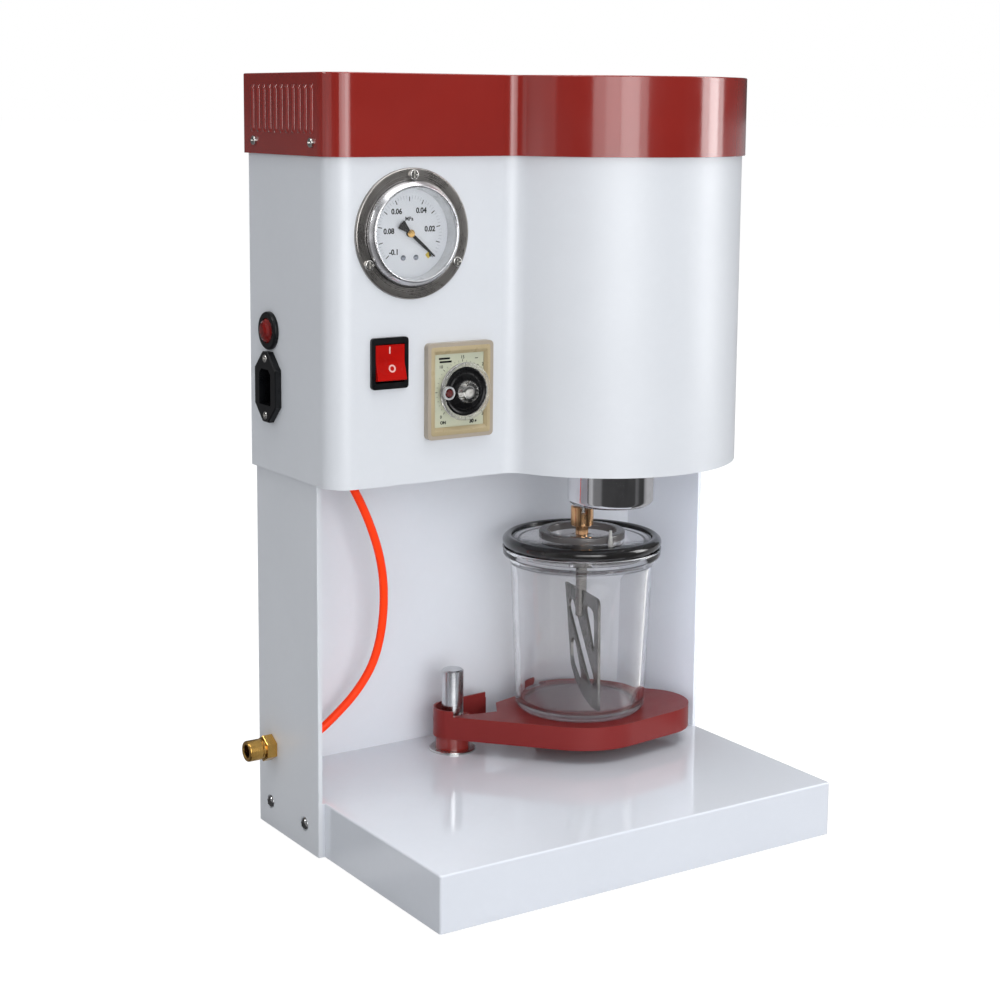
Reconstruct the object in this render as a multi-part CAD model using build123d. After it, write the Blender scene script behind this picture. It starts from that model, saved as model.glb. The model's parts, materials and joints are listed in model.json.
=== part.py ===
from build123d import *
import math
import os

os.makedirs("parts", exist_ok=True)

# Vacuum mixer for dental impression material.
# Frame: millimetres, +Z up, the operator stands at -Y, +X to the operator's right.

# ------------------------------------------------------------------ driving sizes
FOOT_H = 2.2            # rubber foot height
SHELL_Z0 = 0.3          # lower rim of the base shell above the bench
BASE_TOP = 38.0
BASE_FRONT = -149.0
COL_W = 324.0           # outside width over the two side panels
COL_D = 88.0            # depth of the column
PANEL_T = 3.0
BACK_T = 2.0
STEP_L = 4.7            # the front of the base is set in from the left panel

HEAD_Z0, HEAD_Z1 = 257.0, 516.0
HEAD_T = 1.8
XL, YR, YF = -2.7, 90.0, -28.0      # head: left face, rear face, flat front face
R_CORNER, R_HOLLOW = 16.0, 15.0     # front left corner, hollow beside the bulge
BX, BY, BR = 229.0, 2.0, 97.7       # round bulge over the cup
FLOOR_Z0, FLOOR_Z1 = 257.0, 260.0

COVER_Z0, COVER_Z1 = 471.0, 524.0
COVER_OUT, COVER_T = 2.2, 1.4       # cover stands 2.2 mm proud of the head

POST = (138.5, 52.5)
POST_R, POST_TOP = 8.0, 98.0
CUP = (227.0, 17.0)                 # common axis of cup, paddle and spindle
PLATE_TOP = 66.0
STRIP_Z0, STRIP_HI = 49.0, 70.0
R_SMALL, R_BIG, R_TIP, TIP_U = 14.1, 56.0, 31.0, 147.0
STRIP_T = 1.5
SLEEVE_R = R_SMALL - STRIP_T

SHAFT_R = 4.0
COUP_R, COUP_TOP, COUP_Z0, NECK_Z0 = 8.3, 216.0, 201.5, 195.0
SLOT_W, SLOT_Z = 5.0, 211.0
SPINDLE_R = 5.0
MODULE, Z_PINION, Z_GEAR = 1.25, 14, 52
GEAR_C = MODULE * (Z_PINION + Z_GEAR) / 2      # 41.25
_md = (-5.0, -40.94)
_ml = math.hypot(*_md)
MOTOR = (CUP[0] + GEAR_C * _md[0] / _ml, CUP[1] + GEAR_C * _md[1] / _ml)
CAN_R, CAN_Z0, CAN_Z1 = 30.6, 225.8, 300.0

GAUGE = (55.5, 421.5)
GAUGE_R = 42.5
GAUGE_PCR = 38.1                      # flange screws, pitch circle radius
DIAL_Y = 3.3                          # dial face behind the head's front face
ROCK = (38.2, 338.3)
ROCK_W, ROCK_H = 27.4, 33.6
TIMER = (90.6, 317.4)
TIMER_W, TIMER_H = 50.8, 64.0
DIAL = (93.2, 316.6)
LAMP = (60.5, 352.9)                # y, z on the left face
INLET = (60.0, 314.8)
FIT_Y, FIT_Z = 68.5, 59.0
TUBE_R = 3.0
GC = (45.33, 50.76)                 # where the red tube passes the head floor

# the part is drawn from the outer front corner of the left column panel; the
# exported origin is the middle of the footprint at bench level
ORIGIN = (155.35, -28.4)

# ------------------------------------------------------------------ helpers


def cyl(r, z0, z1, x=0.0, y=0.0):
    return Pos(x, y, (z0 + z1) / 2) * Cylinder(r, z1 - z0)


def ycyl(r, y0, y1, x, z):
    return Pos(x, (y0 + y1) / 2, z) * (Rot(90, 0, 0) * Cylinder(r, abs(y1 - y0)))


def xcyl(r, x0, x1, y, z):
    return Pos((x0 + x1) / 2, y, z) * (Rot(0, 90, 0) * Cylinder(r, abs(x1 - x0)))


def box(x0, x1, y0, y1, z0, z1):
    return Pos((x0 + x1) / 2, (y0 + y1) / 2, (z0 + z1) / 2) * Box(x1 - x0, y1 - y0, z1 - z0)


def prism(pts, z0, z1):
    w = Polyline(*[(p[0], p[1], z0) for p in pts], close=True)
    return extrude(make_face(w), amount=z1 - z0, dir=(0, 0, 1))


def yprism(pts, y0, y1):
    """pts are (x, z); solid from y0 to y1."""
    w = Polyline(*[(p[0], y0, p[1]) for p in pts], close=True)
    return extrude(make_face(w), amount=y1 - y0, dir=(0, 1, 0))


def rect_pts(cx, cz, w, h, r):
    """Rounded rectangle as polyline points, 5 segments a corner."""
    out = []
    for (sx, sz, a0) in ((1, 1, 0), (-1, 1, 90), (-1, -1, 180), (1, -1, 270)):
        for k in range(6):
            a = math.radians(a0 + 90 * k / 5)
            out.append((cx + sx * (w / 2 - r) + r * math.cos(a), cz + sz * (h / 2 - r) + r * math.sin(a)))
    return out


def cut(a, *bs):
    for b in bs:
        a = a - b
    return a


def save(name, shape):
    sol = [Pos(-ORIGIN[0], -ORIGIN[1], 0) * q for q in shape.solids()]
    out = sol[0] if len(sol) == 1 else Compound(children=sol)
    out.label = name
    export_step(out, f"parts/{name}.step")


def edges_z(s, z, tol=0.05):
    return [e for e in s.edges() if abs(e.center().Z - z) < tol and abs(e.bounding_box().size.Z) < tol]


def vedges(s, pts, tol=0.3):
    out = []
    for e in s.edges():
        c = e.center()
        if e.bounding_box().size.Z > 3 and any(math.hypot(c.X - p[0], c.Y - p[1]) < tol for p in pts):
            out.append(e)
    return out


def head_face(d, z, rear=None):
    """Plan outline of the head, moved outward by d."""
    yr = YR + d if rear is None else rear
    qy = YF - R_HOLLOW
    qx = BX - math.sqrt((BR + R_HOLLOW) ** 2 - (qy - BY) ** 2)
    rf = R_HOLLOW - d
    rr = BR + d
    v = ((BX - qx) / (BR + R_HOLLOW), (BY - qy) / (BR + R_HOLLOW))
    t = (qx + rf * v[0], qy + rf * v[1])
    up = (0.0, 1.0)
    mid = (up[0] + v[0], up[1] + v[1])
    ml = math.hypot(*mid)
    m = (qx + rf * mid[0] / ml, qy + rf * mid[1] / ml)
    a0 = math.atan2(t[1] - BY, t[0] - BX)
    if a0 > 0:
        a0 -= 2 * math.pi
    am = a0 / 2
    bm = (BX + rr * math.cos(am), BY + rr * math.sin(am))
    rc = R_CORNER
    c0 = (XL + rc, YF + rc)
    s = math.sqrt(0.5) * (rc + d)
    P = lambda p: (p[0], p[1], z)
    rear_l, rear_r = (XL - d, yr), (BX + rr, yr)
    lines = [
        Line(P(rear_l), P((XL - d, YF + rc))),
        ThreePointArc(P((XL - d, YF + rc)), P((c0[0] - s, c0[1] - s)), P((XL + rc, YF - d))),
        Line(P((XL + rc, YF - d)), P((qx, YF - d))),
        ThreePointArc(P((qx, YF - d)), P(m), P(t)),
        ThreePointArc(P(t), P(bm), P((BX + rr, BY))),
        Line(P((BX + rr, BY)), P(rear_r)),
        Line(P(rear_r), P(rear_l)),
    ]
    return make_face(Wire(lines))


def head_prism(d, z0, z1, rear=None):
    return extrude(head_face(d, z0, rear), amount=z1 - z0, dir=(0, 0, 1))


def tube_along(pts, r, label):
    """Tube on straight runs joined by tangent arcs."""
    P = [Vector(*p) for p in pts]
    radii = []
    for i in range(1, len(P) - 1):
        a, b = P[i] - P[i - 1], P[i + 1] - P[i]
        turn = math.radians(a.get_angle(b))
        radii.append(0.45 * min(a.length, b.length) / math.tan(turn / 2))
    line = FilletPolyline(*pts, radius=radii)
    start = P[0]
    d = (P[1] - P[0]).normalized()
    prof = Plane(origin=start, z_dir=d) * Circle(r)
    solid = sweep(prof, path=line)
    length = line.length
    print(label, "radii", [round(q, 1) for q in radii], "length", round(length, 1),
          "volume", round(solid.volume, 1), "section x length", round(math.pi * r * r * length, 1))
    return solid


def pan_screw(r_head, h, r_shank, length):
    """Pan head cross recess screw, seat at z 0, head up, shank down."""
    s = cyl(r_head, 0, h)
    s = fillet(edges_z(s, h), min(0.42 * h, 0.8))
    w = 0.68 * r_head
    s = s - box(-w, w, -0.38, 0.38, 0.5 * h, h + 1) - box(-0.38, 0.38, -w, w, 0.5 * h, h + 1)
    return s + cyl(r_shank, -length, 0)


def gear(z, m, width, z0, x, y, phase_deg, bore, add=0.85, ded=1.1, back=0.10, pa=20.0):
    """Spur gear with involute flanks; one tooth is centred on phase_deg."""
    rp = m * z / 2
    rb = rp * math.cos(math.radians(pa))
    ra = rp + add * m
    rr = rp - ded * m
    inv = lambda a: math.tan(a) - a
    half = math.pi / (2 * z) - back / (2 * rp) + inv(math.radians(pa))
    pts = []
    rs = [max(rb, rr + 0.02) + (ra - max(rb, rr + 0.02)) * k / 4 for k in range(5)]
    for i in range(z):
        c = math.radians(phase_deg) + 2 * math.pi * i / z
        flank = []
        for rad in rs:
            al = math.acos(min(1.0, rb / rad))
            flank.append((rad, half - inv(al)))
        if rr < rs[0]:
            flank.insert(0, (rr, flank[0][1]))
        for rad, an in flank:
            pts.append((x + rad * math.cos(c - an), y + rad * math.sin(c - an)))
        for rad, an in reversed(flank):
            pts.append((x + rad * math.cos(c + an), y + rad * math.sin(c + an)))
    g = prism(pts, z0, z0 + width)
    return g - cyl(bore, z0 - 1, z0 + width + 1, x, y)


# ------------------------------------------------------------------ base
front_pts = [(STEP_L, BASE_FRONT), (COL_W, BASE_FRONT), (COL_W, 0), (COL_W - PANEL_T, 0),
             (COL_W - PANEL_T, COL_D - BACK_T), (PANEL_T, COL_D - BACK_T), (PANEL_T, 0), (STEP_L, 0)]
W = 2.0
inner_pts = [(STEP_L + W, BASE_FRONT + W), (COL_W - W - 3, BASE_FRONT + W), (COL_W - W - 3, COL_D - BACK_T - W), (STEP_L + W, COL_D - BACK_T - W)]
base = prism(front_pts, SHELL_Z0, BASE_TOP)
base = fillet(vedges(base, [(STEP_L, BASE_FRONT), (COL_W, BASE_FRONT)]), 1.6)
base = fillet([e for e in edges_z(base, BASE_TOP) if e.center().Y < -2], 1.3)
base = cut(base, prism(inner_pts, SHELL_Z0 - 1, BASE_TOP - W), cyl(POST_R, 30, 50, *POST))
save("base_shell", base)

pan = prism(inner_pts, 2.2, 3.7)
for (x, y) in ((60, -100), (260, -100), (60, 30), (260, 30)):
    for k in range(-2, 3):
        pan = pan - box(x - 20, x + 20, y + k * 8 - 1.5, y + k * 8 + 1.5, 0, 6)
save("base_pan", pan)

feet = []
for x in (26, 298):
    for y in (-128, 66):
        f = cyl(9, 0.0, FOOT_H, x, y)
        f = fillet(edges_z(f, 0.0), 0.8)
        feet.append(f)
save("rubber_feet", Compound(children=feet))

nut = prism([(POST[0] + 13 * math.cos(math.radians(60 * k)), POST[1] + 13 * math.sin(math.radians(60 * k))) for k in range(6)], 26, 36)
nut = nut - cyl(POST_R, 20, 40, *POST)
save("post_nut", nut)

post = cyl(POST_R, 20, POST_TOP, *POST)
post = chamfer(edges_z(post, POST_TOP), 1.0)
save("post", post)

washer = cyl(17.2, BASE_TOP, BASE_TOP + 1.6, *POST) - cyl(POST_R, 30, 50, *POST)
washer = chamfer([e for e in edges_z(washer, BASE_TOP + 1.6) if e.radius > 12], 0.6)
save("post_washer", washer)

# ------------------------------------------------------------------ column
left = box(0, PANEL_T, 0, COL_D, SHELL_Z0, HEAD_Z0)
left = fillet(vedges(left, [(0, 0)]), 0.8)
left = left - xcyl(7.0, -1, 5, FIT_Y, FIT_Z)
right = box(COL_W - PANEL_T, COL_W, 0, COL_D, SHELL_Z0, HEAD_Z0)
right = fillet(vedges(right, [(COL_W, 0)]), 0.8)
scr_y = (20.2, 71.3)
screws = []
for y in scr_y:
    left = left - xcyl(2.0, -1, 5, y, 18.3) - xcyl(5.0, -1, 0.9, y, 18.3)
    right = right - xcyl(2.0, COL_W - 5, COL_W + 1, y, 18.3) - xcyl(5.0, COL_W - 0.9, COL_W + 1, y, 18.3)
    screws.append(Pos(0.9, y, 18.3) * (Rot(0, -90, 0) * pan_screw(5.0, 2.1, 2.0, 2.1)))
    screws.append(Pos(COL_W - 0.9, y, 18.3) * (Rot(0, 90, 0) * pan_screw(5.0, 2.1, 2.0, 2.1)))
save("column_left_panel", left)
save("column_right_panel", right)
save("column_screws", Compound(children=screws))

back = box(PANEL_T, COL_W - PANEL_T, COL_D - BACK_T, COL_D, SHELL_Z0, HEAD_Z0)
save("column_back_panel", back)

# ------------------------------------------------------------------ head
YPAN = YR - HEAD_T                      # front face of the rear panel
shell = head_prism(0, HEAD_Z0, HEAD_Z1) - head_prism(-HEAD_T, HEAD_Z0 - 1, HEAD_Z1 + 1, rear=YR + 5)
shell = shell - box(-50, 400, YPAN, 200, 0, 600)
shell = shell - ycyl(34.0, YF - 5, YF + 6, *GAUGE)
for a in (90, 210, 330):
    shell = shell - ycyl(1.5, YF - 5, YF + 6, GAUGE[0] + GAUGE_PCR * math.cos(math.radians(a)), GAUGE[1] + GAUGE_PCR * math.sin(math.radians(a)))
shell = shell - box(ROCK[0] - 12, ROCK[0] + 12, YF - 5, YF + 6, ROCK[1] - 14, ROCK[1] + 14)
shell = shell - box(TIMER[0] - 20.2, TIMER[0] + 20.2, YF - 5, YF + 6, TIMER[1] - 27, TIMER[1] + 27)
shell = shell - xcyl(10.0, XL - 5, XL + 6, *LAMP)
shell = shell - box(XL - 5, XL + 6, INLET[0] - 10.5, INLET[0] + 10.5, INLET[1] - 14, INLET[1] + 14)
for s in (-19.4, 19.4):
    shell = shell - xcyl(1.5, XL - 5, XL + 6, INLET[0], INLET[1] + s)
cov_scr = [("l", 76.3), ("l", -5.0), ("r", 76.3), ("r", 12.0)]
for side, y in cov_scr:
    x = XL if side == "l" else BX + BR
    shell = shell - xcyl(1.5, x - 5, x + 5, y, 479.6)
save("head_shell", shell)

rear = box(XL, BX + BR, YPAN, YR, HEAD_Z0, HEAD_Z1)
rear_scr = [(12, 275), (312, 275), (12, 455), (312, 455), (162, 275), (162, 455)]
for (x, z) in rear_scr:
    rear = rear - ycyl(1.5, YPAN - 2, YR + 2, x, z)
for k in range(9):
    for j in range(2):
        z = 395 + 8 * k
        x0 = 60 + 120 * j
        rear = rear - box(x0, x0 + 84, YPAN - 2, YR + 2, z, z + 3)
save("head_rear_panel", rear)

case_screws = [Pos(x, YR, z) * (Rot(-90, 0, 0) * pan_screw(3.1, 1.8, 1.5, HEAD_T)) for (x, z) in rear_scr]

floor = head_prism(-HEAD_T, FLOOR_Z0, FLOOR_Z1, rear=YPAN)
floor = cut(floor, cyl(CAN_R, 250, 270, *MOTOR), cyl(7.0, 250, 270, *CUP), cyl(8.0, 250, 270, *GC))
save("head_floor", floor)

# ------------------------------------------------------------------ top cover
cover = head_prism(COVER_OUT, COVER_Z0, COVER_Z1) - head_prism(COVER_OUT - COVER_T, COVER_Z0 - 1, COVER_Z1 - COVER_T)
cover = fillet([e for e in edges_z(cover, COVER_Z1)], 0.9)
n_vent = 11
for k in range(n_vent):
    y = 78.5 - 8.35 * k
    s = box(XL - 10, XL + 6, y - 1.6, y + 1.6, 488, 513.5) + xcyl(1.6, XL - 10, XL + 6, y, 488) + xcyl(1.6, XL - 10, XL + 6, y, 513.5)
    cover = cover - s
for side, y in cov_scr:
    x = XL if side == "l" else BX + BR
    sg = -1 if side == "l" else 1
    cover = cover - xcyl(1.5, x - 5, x + 5, y, 479.6)
    case_screws.append(Pos(x + sg * COVER_OUT, y, 479.6) * (Rot(0, sg * 90, 0) * pan_screw(3.1, 1.8, 1.5, COVER_OUT + HEAD_T)))
save("top_cover", cover)
save("case_screws", Compound(children=case_screws))

# ------------------------------------------------------------------ vacuum gauge
gx, gz = GAUGE
FL = 2.0
fl = ycyl(GAUGE_R, YF - FL, YF, gx, gz)
fl = fillet([e for e in fl.edges() if abs(e.center().Y - YF + FL) < 0.05], 0.8)
fl = fl - ycyl(34.0, YF - 5, YF + 5, gx, gz)
gs = []
for a in (90, 210, 330):
    x, z = gx + GAUGE_PCR * math.cos(math.radians(a)), gz + GAUGE_PCR * math.sin(math.radians(a))
    fl = fl - ycyl(1.5, YF - 5, YF + 5, x, z)
    gs.append(Pos(x, YF - FL, z) * (Rot(90, 0, 0) * pan_screw(3.3, 1.9, 1.5, 8.0)))
save("gauge_flange", fl)

bz = [(34.4, -2.0), (34.4, -2.6), (33.6, -4.6), (32.2, -6.6), (31.2, -7.3), (30.4, -7.5), (30.0, -7.2), (30.0, -6.2), (31.2, -6.2), (31.2, -2.0)]
bez = revolve(make_face(Polyline(*[(r, 0, h) for (r, h) in bz], close=True)), axis=Axis.Z)
bez = Pos(gx, YF, gz) * (Rot(-90, 0, 0) * bez)
save("gauge_bezel", bez)

glass = ycyl(31.2, YF - 6.2, YF - 5.0, gx, gz)
save("gauge_glass", glass)

case = ycyl(34.0, YF - 2.0, YF + 30, gx, gz) - ycyl(31.2, YF - 3, YF + 28, gx, gz)
dial = ycyl(31.2, YF + DIAL_Y, YF + DIAL_Y + 0.8, gx, gz) - ycyl(2.4, YF - 5, YF + 9, gx, gz)
for x in (gx - 4.8, gx + 4.8):
    z = gz - 15.7
    dial = dial - ycyl(0.9, YF - 5, YF + 9, x, z)
    gs.append(Pos(x, YF + DIAL_Y, z) * (Rot(90, 0, 0) * pan_screw(1.6, 0.8, 0.9, 2.8)))
save("gauge_dial", dial)
save("gauge_screws", Compound(children=gs))

mov = box(gx - 13, gx + 13, YF + DIAL_Y + 2.8, YF + 22.5, gz - 18, gz + 12)
mov = mov - box(gx - 9, gx + 9, YF + DIAL_Y + 5.3, YF + 20, gz - 13, gz + 20)
mov = mov - ycyl(1.55, YF - 5, YF + 10, gx, gz)
mov = mov + ycyl(5.0, YF + 22, YF + 46, gx, gz)
case = case + mov - ycyl(1.5, YF + 24, YF + 50, gx, gz)
save("gauge_case", case)

PT_A = -40.5                          # pointer angle at rest, degrees from +X toward +Z
pa = math.radians(PT_A)
ux, uz = math.cos(pa), math.sin(pa)
nx, nz = -uz, ux
pq = lambda u, w: (gx + u * ux + w * nx, gz + u * uz + w * nz)
ptr = yprism([pq(-9.6, 3.1), pq(-9.0, 3.3), pq(-2.0, 1.1), pq(0, 1.15), pq(15, 0.95), pq(23.6, 0.4), pq(23.6, -0.4), pq(15, -0.95), pq(0, -1.15), pq(-2.0, -1.1), pq(-9.0, -3.3), pq(-9.6, -3.1), pq(-9.9, 0)], YF + DIAL_Y - 2.2, YF + DIAL_Y - 1.6)
ptr = ptr + ycyl(2.5, YF + DIAL_Y - 2.6, YF + DIAL_Y - 1.6, gx, gz)
ptr = ptr + ycyl(1.5, YF + DIAL_Y - 3.0, YF + DIAL_Y + 5.0, gx, gz)
save("gauge_pointer", ptr)

# ------------------------------------------------------------------ rocker switch
rx, rz = ROCK
BZ = 2.4
rb = yprism(rect_pts(rx, rz, ROCK_W, ROCK_H, 2.2), YF - BZ, YF) + box(rx - 12, rx + 12, YF, YF + 22, rz - 14, rz + 14)
rb = rb - box(rx - 11.0, rx + 11.0, YF - 8, YF + 9.5, rz - 12.7, rz + 12.7)
PVY = YF + 1.0                        # rocker pivot
rb = rb - xcyl(1.65, rx - 11.7, rx + 11.7, PVY, rz)
save("switch_housing", rb)
hw = 10.7
ROCK_TILT = math.radians(-8.0)       # rest: upper half pressed in
rpts = [(-4.9, 11.7), (-3.4, 0.8), (-3.4, -0.8), (-4.9, -11.7), (-1.0, -11.7), (4.0, -6.0), (4.0, 6.0), (-1.0, 11.7)]
rpts = [(PVY + y * math.cos(ROCK_TILT) - z * math.sin(ROCK_TILT), rz + y * math.sin(ROCK_TILT) + z * math.cos(ROCK_TILT)) for (y, z) in rpts]
w = Polyline(*[(rx - hw, q[0], q[1]) for q in rpts], close=True)
rock = extrude(make_face(w), amount=2 * hw, dir=(1, 0, 0))
rock = fillet([e for e in rock.edges() if e.bounding_box().size.X > 20 and e.center().Y < YF], 0.6)
rock = rock + xcyl(1.6, rx - 11.6, rx + 11.6, PVY, rz)
save("rocker_button", rock)

# ------------------------------------------------------------------ timer
tx, tz = TIMER
TF = 5.0
tf = yprism(rect_pts(tx, tz, TIMER_W, TIMER_H, 3.0), YF - TF, YF)
tf = tf - yprism(rect_pts(tx, tz, TIMER_W - 8.4, TIMER_H - 9.4, 1.2), YF - TF - 1, YF - TF + 2.6) - box(tx - 20.2, tx + 20.2, YF - 10, YF + 3, tz - 25.5, tz + 25.5)
save("timer_frame", tf)
tc = box(tx - 20.2, tx + 20.2, YF - 2.6, YF + 46, tz - 25.5, tz + 25.5) - box(tx - 18.2, tx + 18.2, YF + 1, YF + 44, tz - 23.5, tz + 23.5)
tc = tc - ycyl(3.06, YF - 5, YF + 5, *DIAL)
save("timer_case", tc)
dx, dz = DIAL
disc = ycyl(19.5, YF - 8.4, YF - 5.5, dx, dz)
disc = fillet([e for e in disc.edges() if abs(e.center().Y - (YF - 8.4)) < 0.05], 1.0)
disc = disc + ycyl(16.4, YF - 5.5, YF - 3.0, dx, dz)
disc = disc - ycyl(3.0, YF - 10, YF + 2, dx, dz)
fing = ycyl(4.5, YF - 11.2, YF - 8.4, dx - 14.6, dz)
fing = fillet([e for e in fing.edges() if abs(e.center().Y - (YF - 11.2)) < 0.05], 1.0)
save("timer_dial", disc + fing)
knob = ycyl(7.5, YF - 13.4, YF - 8.4, dx, dz)
knob = fillet([e for e in knob.edges() if abs(e.center().Y - (YF - 13.4)) < 0.05], 1.4)
save("timer_knob", knob + ycyl(3.0, YF - 9, YF + 12, dx, dz))

# ------------------------------------------------------------------ pilot lamp and mains inlet on the left face
ly, lz = LAMP
lb = xcyl(12.9, XL - 3.0, XL, ly, lz)
lb = fillet([e for e in lb.edges() if abs(e.center().X - (XL - 3.0)) < 0.05], 1.4)
lb = lb + xcyl(10.0, XL, XL + 24, ly, lz)
lb = lb - xcyl(8.6, XL - 5, XL + 20, ly, lz)
save("lamp_bezel", lb)
ll = xcyl(8.6, XL - 2.0, XL + 6.0, ly, lz) + ((Pos(XL + 2.6, ly, lz) * Sphere(9.1)) & xcyl(8.6, XL - 9.5, XL - 2.0, ly, lz))
save("lamp_lens", ll)

iy, iz = INLET


def hexa(h, w, cut_z):
    return [(iy - w / 2, iz - h / 2 + cut_z), (iy - 4, iz - h / 2), (iy + 4, iz - h / 2), (iy + w / 2, iz - h / 2 + cut_z),
            (iy + w / 2, iz + h / 2 - cut_z), (iy + 4, iz + h / 2), (iy - 4, iz + h / 2), (iy - w / 2, iz + h / 2 - cut_z)]


def xprism(pts, x0, x1):
    w = Polyline(*[(x0, p[0], p[1]) for p in pts], close=True)
    return extrude(make_face(w), amount=x1 - x0, dir=(1, 0, 0))


inl = xprism(hexa(48.0, 31.0, 11.5), XL - 4.6, XL)
inl = chamfer([e for e in inl.edges() if abs(e.center().X - (XL - 4.6)) < 0.05 and e.bounding_box().size.X < 0.05], 0.8)
inl = inl + box(XL, XL + 24, iy - 10.5, iy + 10.5, iz - 14, iz + 14)
sock = [(iy - 8.4, iz - 12.2), (iy + 8.4, iz - 12.2), (iy + 8.4, iz + 9.0), (iy + 5.0, iz + 12.2), (iy - 5.0, iz + 12.2), (iy - 8.4, iz + 9.0)]
inl = inl - xprism(sock, XL - 10, XL + 16)
for s in (-19.4, 19.4):
    inl = inl - xcyl(1.5, XL - 10, XL + 5, iy, iz + s) - xcyl(3.0, XL - 10, XL - 3.2, iy, iz + s)
pins = []
for (dy, dzz) in ((0, -7.0), (0, 7.0), (-3.6, 0)):
    w2, h2 = (1.0, 2.0) if dzz else (1.0, 2.0)
    inl = inl - box(XL + 15, XL + 30, iy + dy - w2, iy + dy + w2, iz + dzz - h2, iz + dzz + h2)
    pins.append(box(XL + 1.0, XL + 30, iy + dy - w2, iy + dy + w2, iz + dzz - h2, iz + dzz + h2))
save("inlet_housing", inl)
save("inlet_pins", Compound(children=pins))
isc = []
for s in (-19.4, 19.4):
    z = iz + s
    isc.append(Pos(XL - 3.2, iy, z) * (Rot(0, -90, 0) * pan_screw(2.8, 1.8, 1.5, 9.0)))
save("inlet_screws", Compound(children=isc))

# ------------------------------------------------------------------ brass bulkhead fitting and vacuum tube
hexf = xprism([(FIT_Y + 9.3 * math.cos(math.radians(30 + 60 * k)), FIT_Z + 9.3 * math.sin(math.radians(30 + 60 * k))) for k in range(6)], -7.4, 0)
hexf = hexf + xcyl(7.0, -7.4, 14.5, FIT_Y, FIT_Z)
brl = xcyl(7.3, -20.0, -7.4, FIT_Y, FIT_Z)
brl = chamfer([e for e in brl.edges() if abs(e.center().X + 20) < 0.05], 0.8)
hexf = hexf + brl - xcyl(4.5, -22, -6, FIT_Y, FIT_Z) - xcyl(1.6, -8, 20, FIT_Y, FIT_Z) - xcyl(TUBE_R, 10.5, 20, FIT_Y, FIT_Z)
save("bulkhead_fitting", hexf)
bn = xprism([(FIT_Y + 11 * math.cos(math.radians(60 * k)), FIT_Z + 11 * math.sin(math.radians(60 * k))) for k in range(6)], PANEL_T, PANEL_T + 4) - xcyl(7.0, 0, 20, FIT_Y, FIT_Z)
save("bulkhead_nut", bn)
TUBE = [(34.0, 49.5, 283.0), (47.5, 51.0, 255.0), (67.5, 52.5, 220.0), (81.0, 54.5, 183.0), (84.5, 58.0, 147.0),
        (79.5, 60.5, 114.0), (67.0, 64.0, 89.5), (48.5, 67.5, 69.5), (31.0, 68.5, 59.0), (10.5, 68.5, 59.0)]
tube = tube_along(TUBE, TUBE_R, "vacuum_tube")
save("vacuum_tube", tube)
grom = cyl(9.8, FLOOR_Z0 - 1.5, FLOOR_Z0, *GC) + cyl(8.0, FLOOR_Z0, FLOOR_Z1, *GC) + cyl(9.8, FLOOR_Z1, FLOOR_Z1 + 1.5, *GC) - cyl(6.0, 250, 270, *GC)
save("tube_grommet", grom)

d0 = (Vector(TUBE[1]) - Vector(TUBE[0])).normalized()
p0 = Vector(TUBE[0])
man = box(20, 42, 38, 54, 275, 295) + box(20, 24, 38, 54, FLOOR_Z1, 276)
man = man - Plane(origin=p0 + d0 * 10, z_dir=d0) * Cylinder(TUBE_R, 20.0) - cyl(TUBE_R, 289, 300, 27, 46) - xcyl(TUBE_R, 36, 50, 46, 289)
man = man - box(22.5, 38, 42, 50, 283, 291) + Plane(origin=p0 + d0 * 3, z_dir=d0) * (Cylinder(4.4, 6.0) - Cylinder(TUBE_R, 6.0))
save("vacuum_manifold", man)
GH = [(55.5, 18.0, GAUGE[1]), (55.5, 42.0, GAUGE[1]), (50.0, 53.0, 396.0), (36.0, 51.0, 364.0), (27.0, 46.0, 332.0), (27.0, 46.0, 291.0)]
PH = [(38.0, 46.0, 289.0), (66.0, 46.0, 289.0), (94.0, 49.0, 296.0), (122.0, 49.0, 296.0)]
hoses = [tube_along(GH, TUBE_R, "gauge hose"), tube_along(PH, TUBE_R, "pump hose")]
save("vacuum_hoses", Compound(children=hoses))

# ------------------------------------------------------------------ vacuum pump
pump = box(122, 176, 22, 78, FLOOR_Z1, 322)
pump = fillet([e for e in pump.edges() if e.bounding_box().size.Z > 50], 5)
pump = pump + fillet(edges_z(cyl(24, 321, 392, 149, 50), 392), 3)
pump = pump - xcyl(TUBE_R, 110, 122, 49, 296)
save("vacuum_pump", pump)

# ------------------------------------------------------------------ mixing drive
mx, my = MOTOR
can = cyl(CAN_R, CAN_Z0, CAN_Z1, mx, my)
can = fillet(edges_z(can, CAN_Z0), 4.5)
can = can - cyl(CAN_R - 2, CAN_Z0 + 3, CAN_Z1 + 1, mx, my)
can = can + (cyl(8, CAN_Z0 + 3, CAN_Z0 + 10, mx, my)) - cyl(SHAFT_R + 0.05, CAN_Z0 + 3.2, CAN_Z1, mx, my)
save("motor_can", can)
sta = cyl(CAN_R - 2, 238, 284, mx, my) - cyl(24, 230, 290, mx, my)
save("motor_stator", sta)
rot_ = cyl(23, 240, 282, mx, my) + cyl(SHAFT_R, CAN_Z0 + 3.6, 321, mx, my)
save("motor_rotor", rot_)
ang = math.degrees(math.atan2(CUP[1] - my, CUP[0] - mx))     # pinion to gear
GZ0 = 309.0
pin = gear(Z_PINION, MODULE, 10.0, GZ0, mx, my, ang, SHAFT_R)
save("motor_pinion", pin)
gph = ang + 180 + 180.0 / Z_GEAR
gr = gear(Z_GEAR, MODULE, 9.0, GZ0 + 0.5, CUP[0], CUP[1], gph, SPINDLE_R)
hub = cyl(10, GZ0 + 9.5, GZ0 + 14, *CUP) - cyl(SPINDLE_R, 300, 330, *CUP)
gr = gr + hub
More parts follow.
